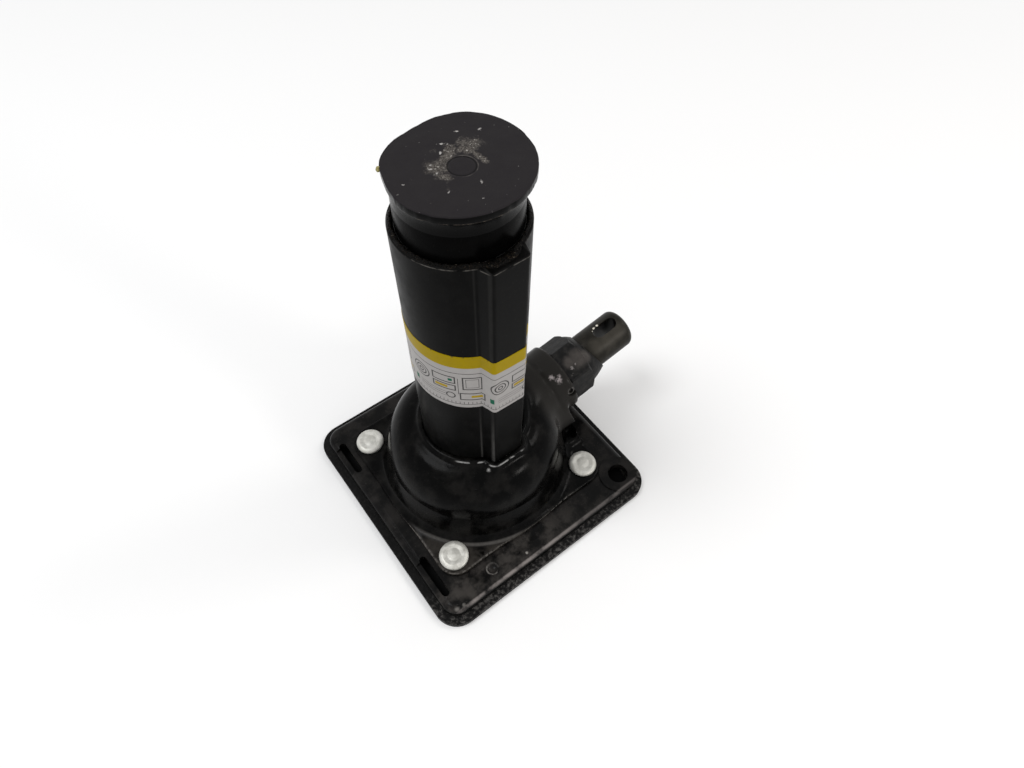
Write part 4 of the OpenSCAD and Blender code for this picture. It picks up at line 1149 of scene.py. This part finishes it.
def set_screw():
    """Grub screw in the boss: a short plug with a hexagonal socket sunk in its end."""
    out = DRIVE_UP * SET_OUT[0] + SIDE * SET_OUT[1]
    across = DRIVE_UP * SET_ACROSS[0] + SIDE * SET_ACROSS[1]
    foot = APEX + SET_SCREW_AT * DRIVE
    turn = np.linspace(0, 2 * np.pi, 48, endpoint=False)
    hexagon = 1.25 / np.cos(np.mod(turn, math.pi / 3) - math.pi / 6)
    rows = [(12.5, 0.0), (12.5, 2.1), (15.1, 2.15), (15.35, 1.95), (15.4, 1.6), (15.35, hexagon),
            (13.9, hexagon), (13.8, 0.0)]
    ray = np.cos(turn)[:, None] * DRIVE + np.sin(turn)[:, None] * across
    grid = np.stack([foot + h * out + np.broadcast_to(r, 48)[:, None] * ray for h, r in rows])
    place(sealed("set_screw", [(grid, False, True)]), dark_steel, "frame", ["gland_screw"])


dark_steel = machined("blackened_steel", (0.10, 0.095, 0.09), 0.42)
for make in (pressed_tray, rivet_heads, cast_housing, column_tube, printed_label, grit_ring, ram_sleeve,
             ram_disc, sealant_drop, gland_hex, slotted_shaft, set_screw):
    make()

# ---- pieces inside, which keep the CAD part's shapes -----------------------

INSIDE = [
    (machined("ground_steel", (0.55, 0.55, 0.56), 0.28),
     ["thrust_race_lower", "thrust_race_upper", "thrust_balls", "gear_key", "stop_clip", "nut_pins",
      "pinion_pin", "shaft_clip"]),
    (machined("screw_steel", (0.42, 0.41, 0.40), 0.34), ["main_screw"]),
    (machined("cut_gear_steel", (0.36, 0.36, 0.37), 0.36), ["bevel_gear", "bevel_pinion"]),
    (machined("cast_bronze", (0.55, 0.36, 0.17), 0.38),
     ["guide_ring", "pinion_bush", "pinion_washer", "ball_cage", "lift_nut"]),
    (dark_steel, ["stop_washer", "guide_key"]),
    (wiper_rubber(), ["wiper_ring"]),
]
for finish, names in INSIDE:
    for name in names:
        node[name].data.materials.clear()
        node[name].data.materials.append(finish)


# ---- floor, light and camera -----------------------------------------------

def pale_floor():
    """Pale matt floor. To the camera it is a little paler, so that it shows white where no shadow falls, and
    it turns into plain white far from the object; under the base its colour is near black, a painted shadow."""
    f = Finish("pale_floor")
    x, y = f.axes()[:2]
    grain = f.noise(4.0, 2.0)
    seen = f.add("LightPath", out="Is Camera Ray")
    far = f.times(seen, f.past(f.vector("LENGTH", f.here, out="Value"), 450, 1100))
    pale = f.between(seen, f.between(grain, grey(0.90), grey(0.93)), grey(0.995))
    # Painted shadow: within the base's outline the floor's colour is near black.
    across, along = f.off(x, 2 * MM), f.off(y, -1 * MM)
    under = [f.calc("LESS_THAN", value, limit * MM)
             for value, limit in ((across, 57), (along, 57.5), (f.plus(across, along), 107.5))]
    colour = f.between(far, f.over(pale, f.times(*under), grey(0.012)), grey(0.0))
    return f.done(Base_Color=colour, Roughness=f.level(grain, 0.7, 0.8), Specular_IOR_Level=0.0,
                  Emission_Color=(1.0, 1.0, 1.0, 1.0), Emission_Strength=far)


def stand(thing, right, above, back, at):
    """Puts a lamp or the camera at a place in metres, with its own X, Y and Z along three directions."""
    turned = Matrix.Identity(4)
    for i in range(3):
        turned[i][:] = right[i], above[i], back[i], at[i]
    thing.matrix_world = turned


def studio_floor():
    """A square of floor round the origin."""
    half = 1600.0
    corners = half * np.array([[-1, -1, 0], [1, -1, 0], [1, 1, 0], [-1, 1, 0]])
    mesh = mesh_of("studio_floor", corners, np.array([[0, 1, 2, 3]]))
    mesh.materials.append(pale_floor())
    ground = show(bpy.data.objects.new("studio_floor", mesh))


def soft_box(name, at, aim, width, height, power, tint):
    """Oval lamp at a place in metres that points at another."""
    lamp = bpy.data.lights.new(name, "AREA")
    lamp.color = tint
    lamp.shape = "ELLIPSE"
    lamp.size, lamp.size_y, lamp.energy = width, height, power
    back = np.array(at) - np.array(aim)
    back /= np.linalg.norm(back)
    right = np.cross([0, 0, 1], back)
    right /= np.linalg.norm(right)
    stand(show(bpy.data.objects.new(name, lamp)), right, np.cross(back, right), back, at)


def surroundings():
    """White surroundings, which light the object at 0.6 and show at full strength to the camera, in gloss
    and through glass."""
    world = bpy.data.worlds.new("surroundings")
    bpy.context.scene.world = world
    world.use_nodes = True
    tree = world.node_tree
    tree.nodes.clear()
    paths = tree.nodes.new("ShaderNodeLightPath")
    seen = paths.outputs["Is Camera Ray"]
    for ray in ("Is Glossy Ray", "Is Transmission Ray"):
        most = tree.nodes.new("ShaderNodeMath")
        most.operation = "MAXIMUM"
        tree.links.new(paths.outputs[ray], most.inputs[0])
        tree.links.new(seen, most.inputs[1])
        seen = most.outputs[0]
    strength = tree.nodes.new("ShaderNodeMapRange")
    strength.inputs["To Min"].default_value = 0.60
    strength.inputs["To Max"].default_value = 1.0
    tree.links.new(seen, strength.inputs["Value"])
    back = tree.nodes.new("ShaderNodeBackground")
    back.inputs["Color"].default_value = (1.0, 1.0, 1.0, 1.0)
    tree.links.new(strength.outputs[0], back.inputs["Strength"])
    end = tree.nodes.new("ShaderNodeOutputWorld")
    tree.links.new(back.outputs[0], end.inputs[0])


def camera():
    """Looks down on the jack from above its -X, -Y corner; its right-hand direction is squared to the
    view."""
    lens = bpy.data.cameras.new("main_camera")
    lens.sensor_width = 36.0
    lens.lens = 23.44
    lens.clip_start, lens.clip_end = 0.01, 20.0
    eye = show(bpy.data.objects.new("main_camera", lens))
    forward = np.array([0.3471, 0.4337, -0.8315])
    forward /= np.linalg.norm(forward)
    right = np.array([0.7938, -0.608, 0.0142])
    right -= right.dot(forward) * forward
    right /= np.linalg.norm(right)
    stand(eye, right, np.cross(right, forward), -forward, np.array([-82.67, -130.51, 303.57]) * MM)
    bpy.context.scene.camera = eye


studio_floor()
soft_box("window_box", (-0.55, 0.30, 1.20), (0, 0, 0.08), 0.6, 0.6, 6.3, (0.98, 0.99, 1.0))
soft_box("side_box", (0.85, -0.30, 0.95), (0, 0, 0.05), 0.30, 0.30, 2.0, (1.0, 0.97, 0.94))
soft_box("low_box", (0.40, -0.98, 0.55), (0, 0, 0.03), 0.26, 0.16, 2.4, (1.0, 0.96, 0.92))
surroundings()
camera()
bpy.context.scene.view_settings.view_transform = "Standard"

bpy.context.view_layer.update()
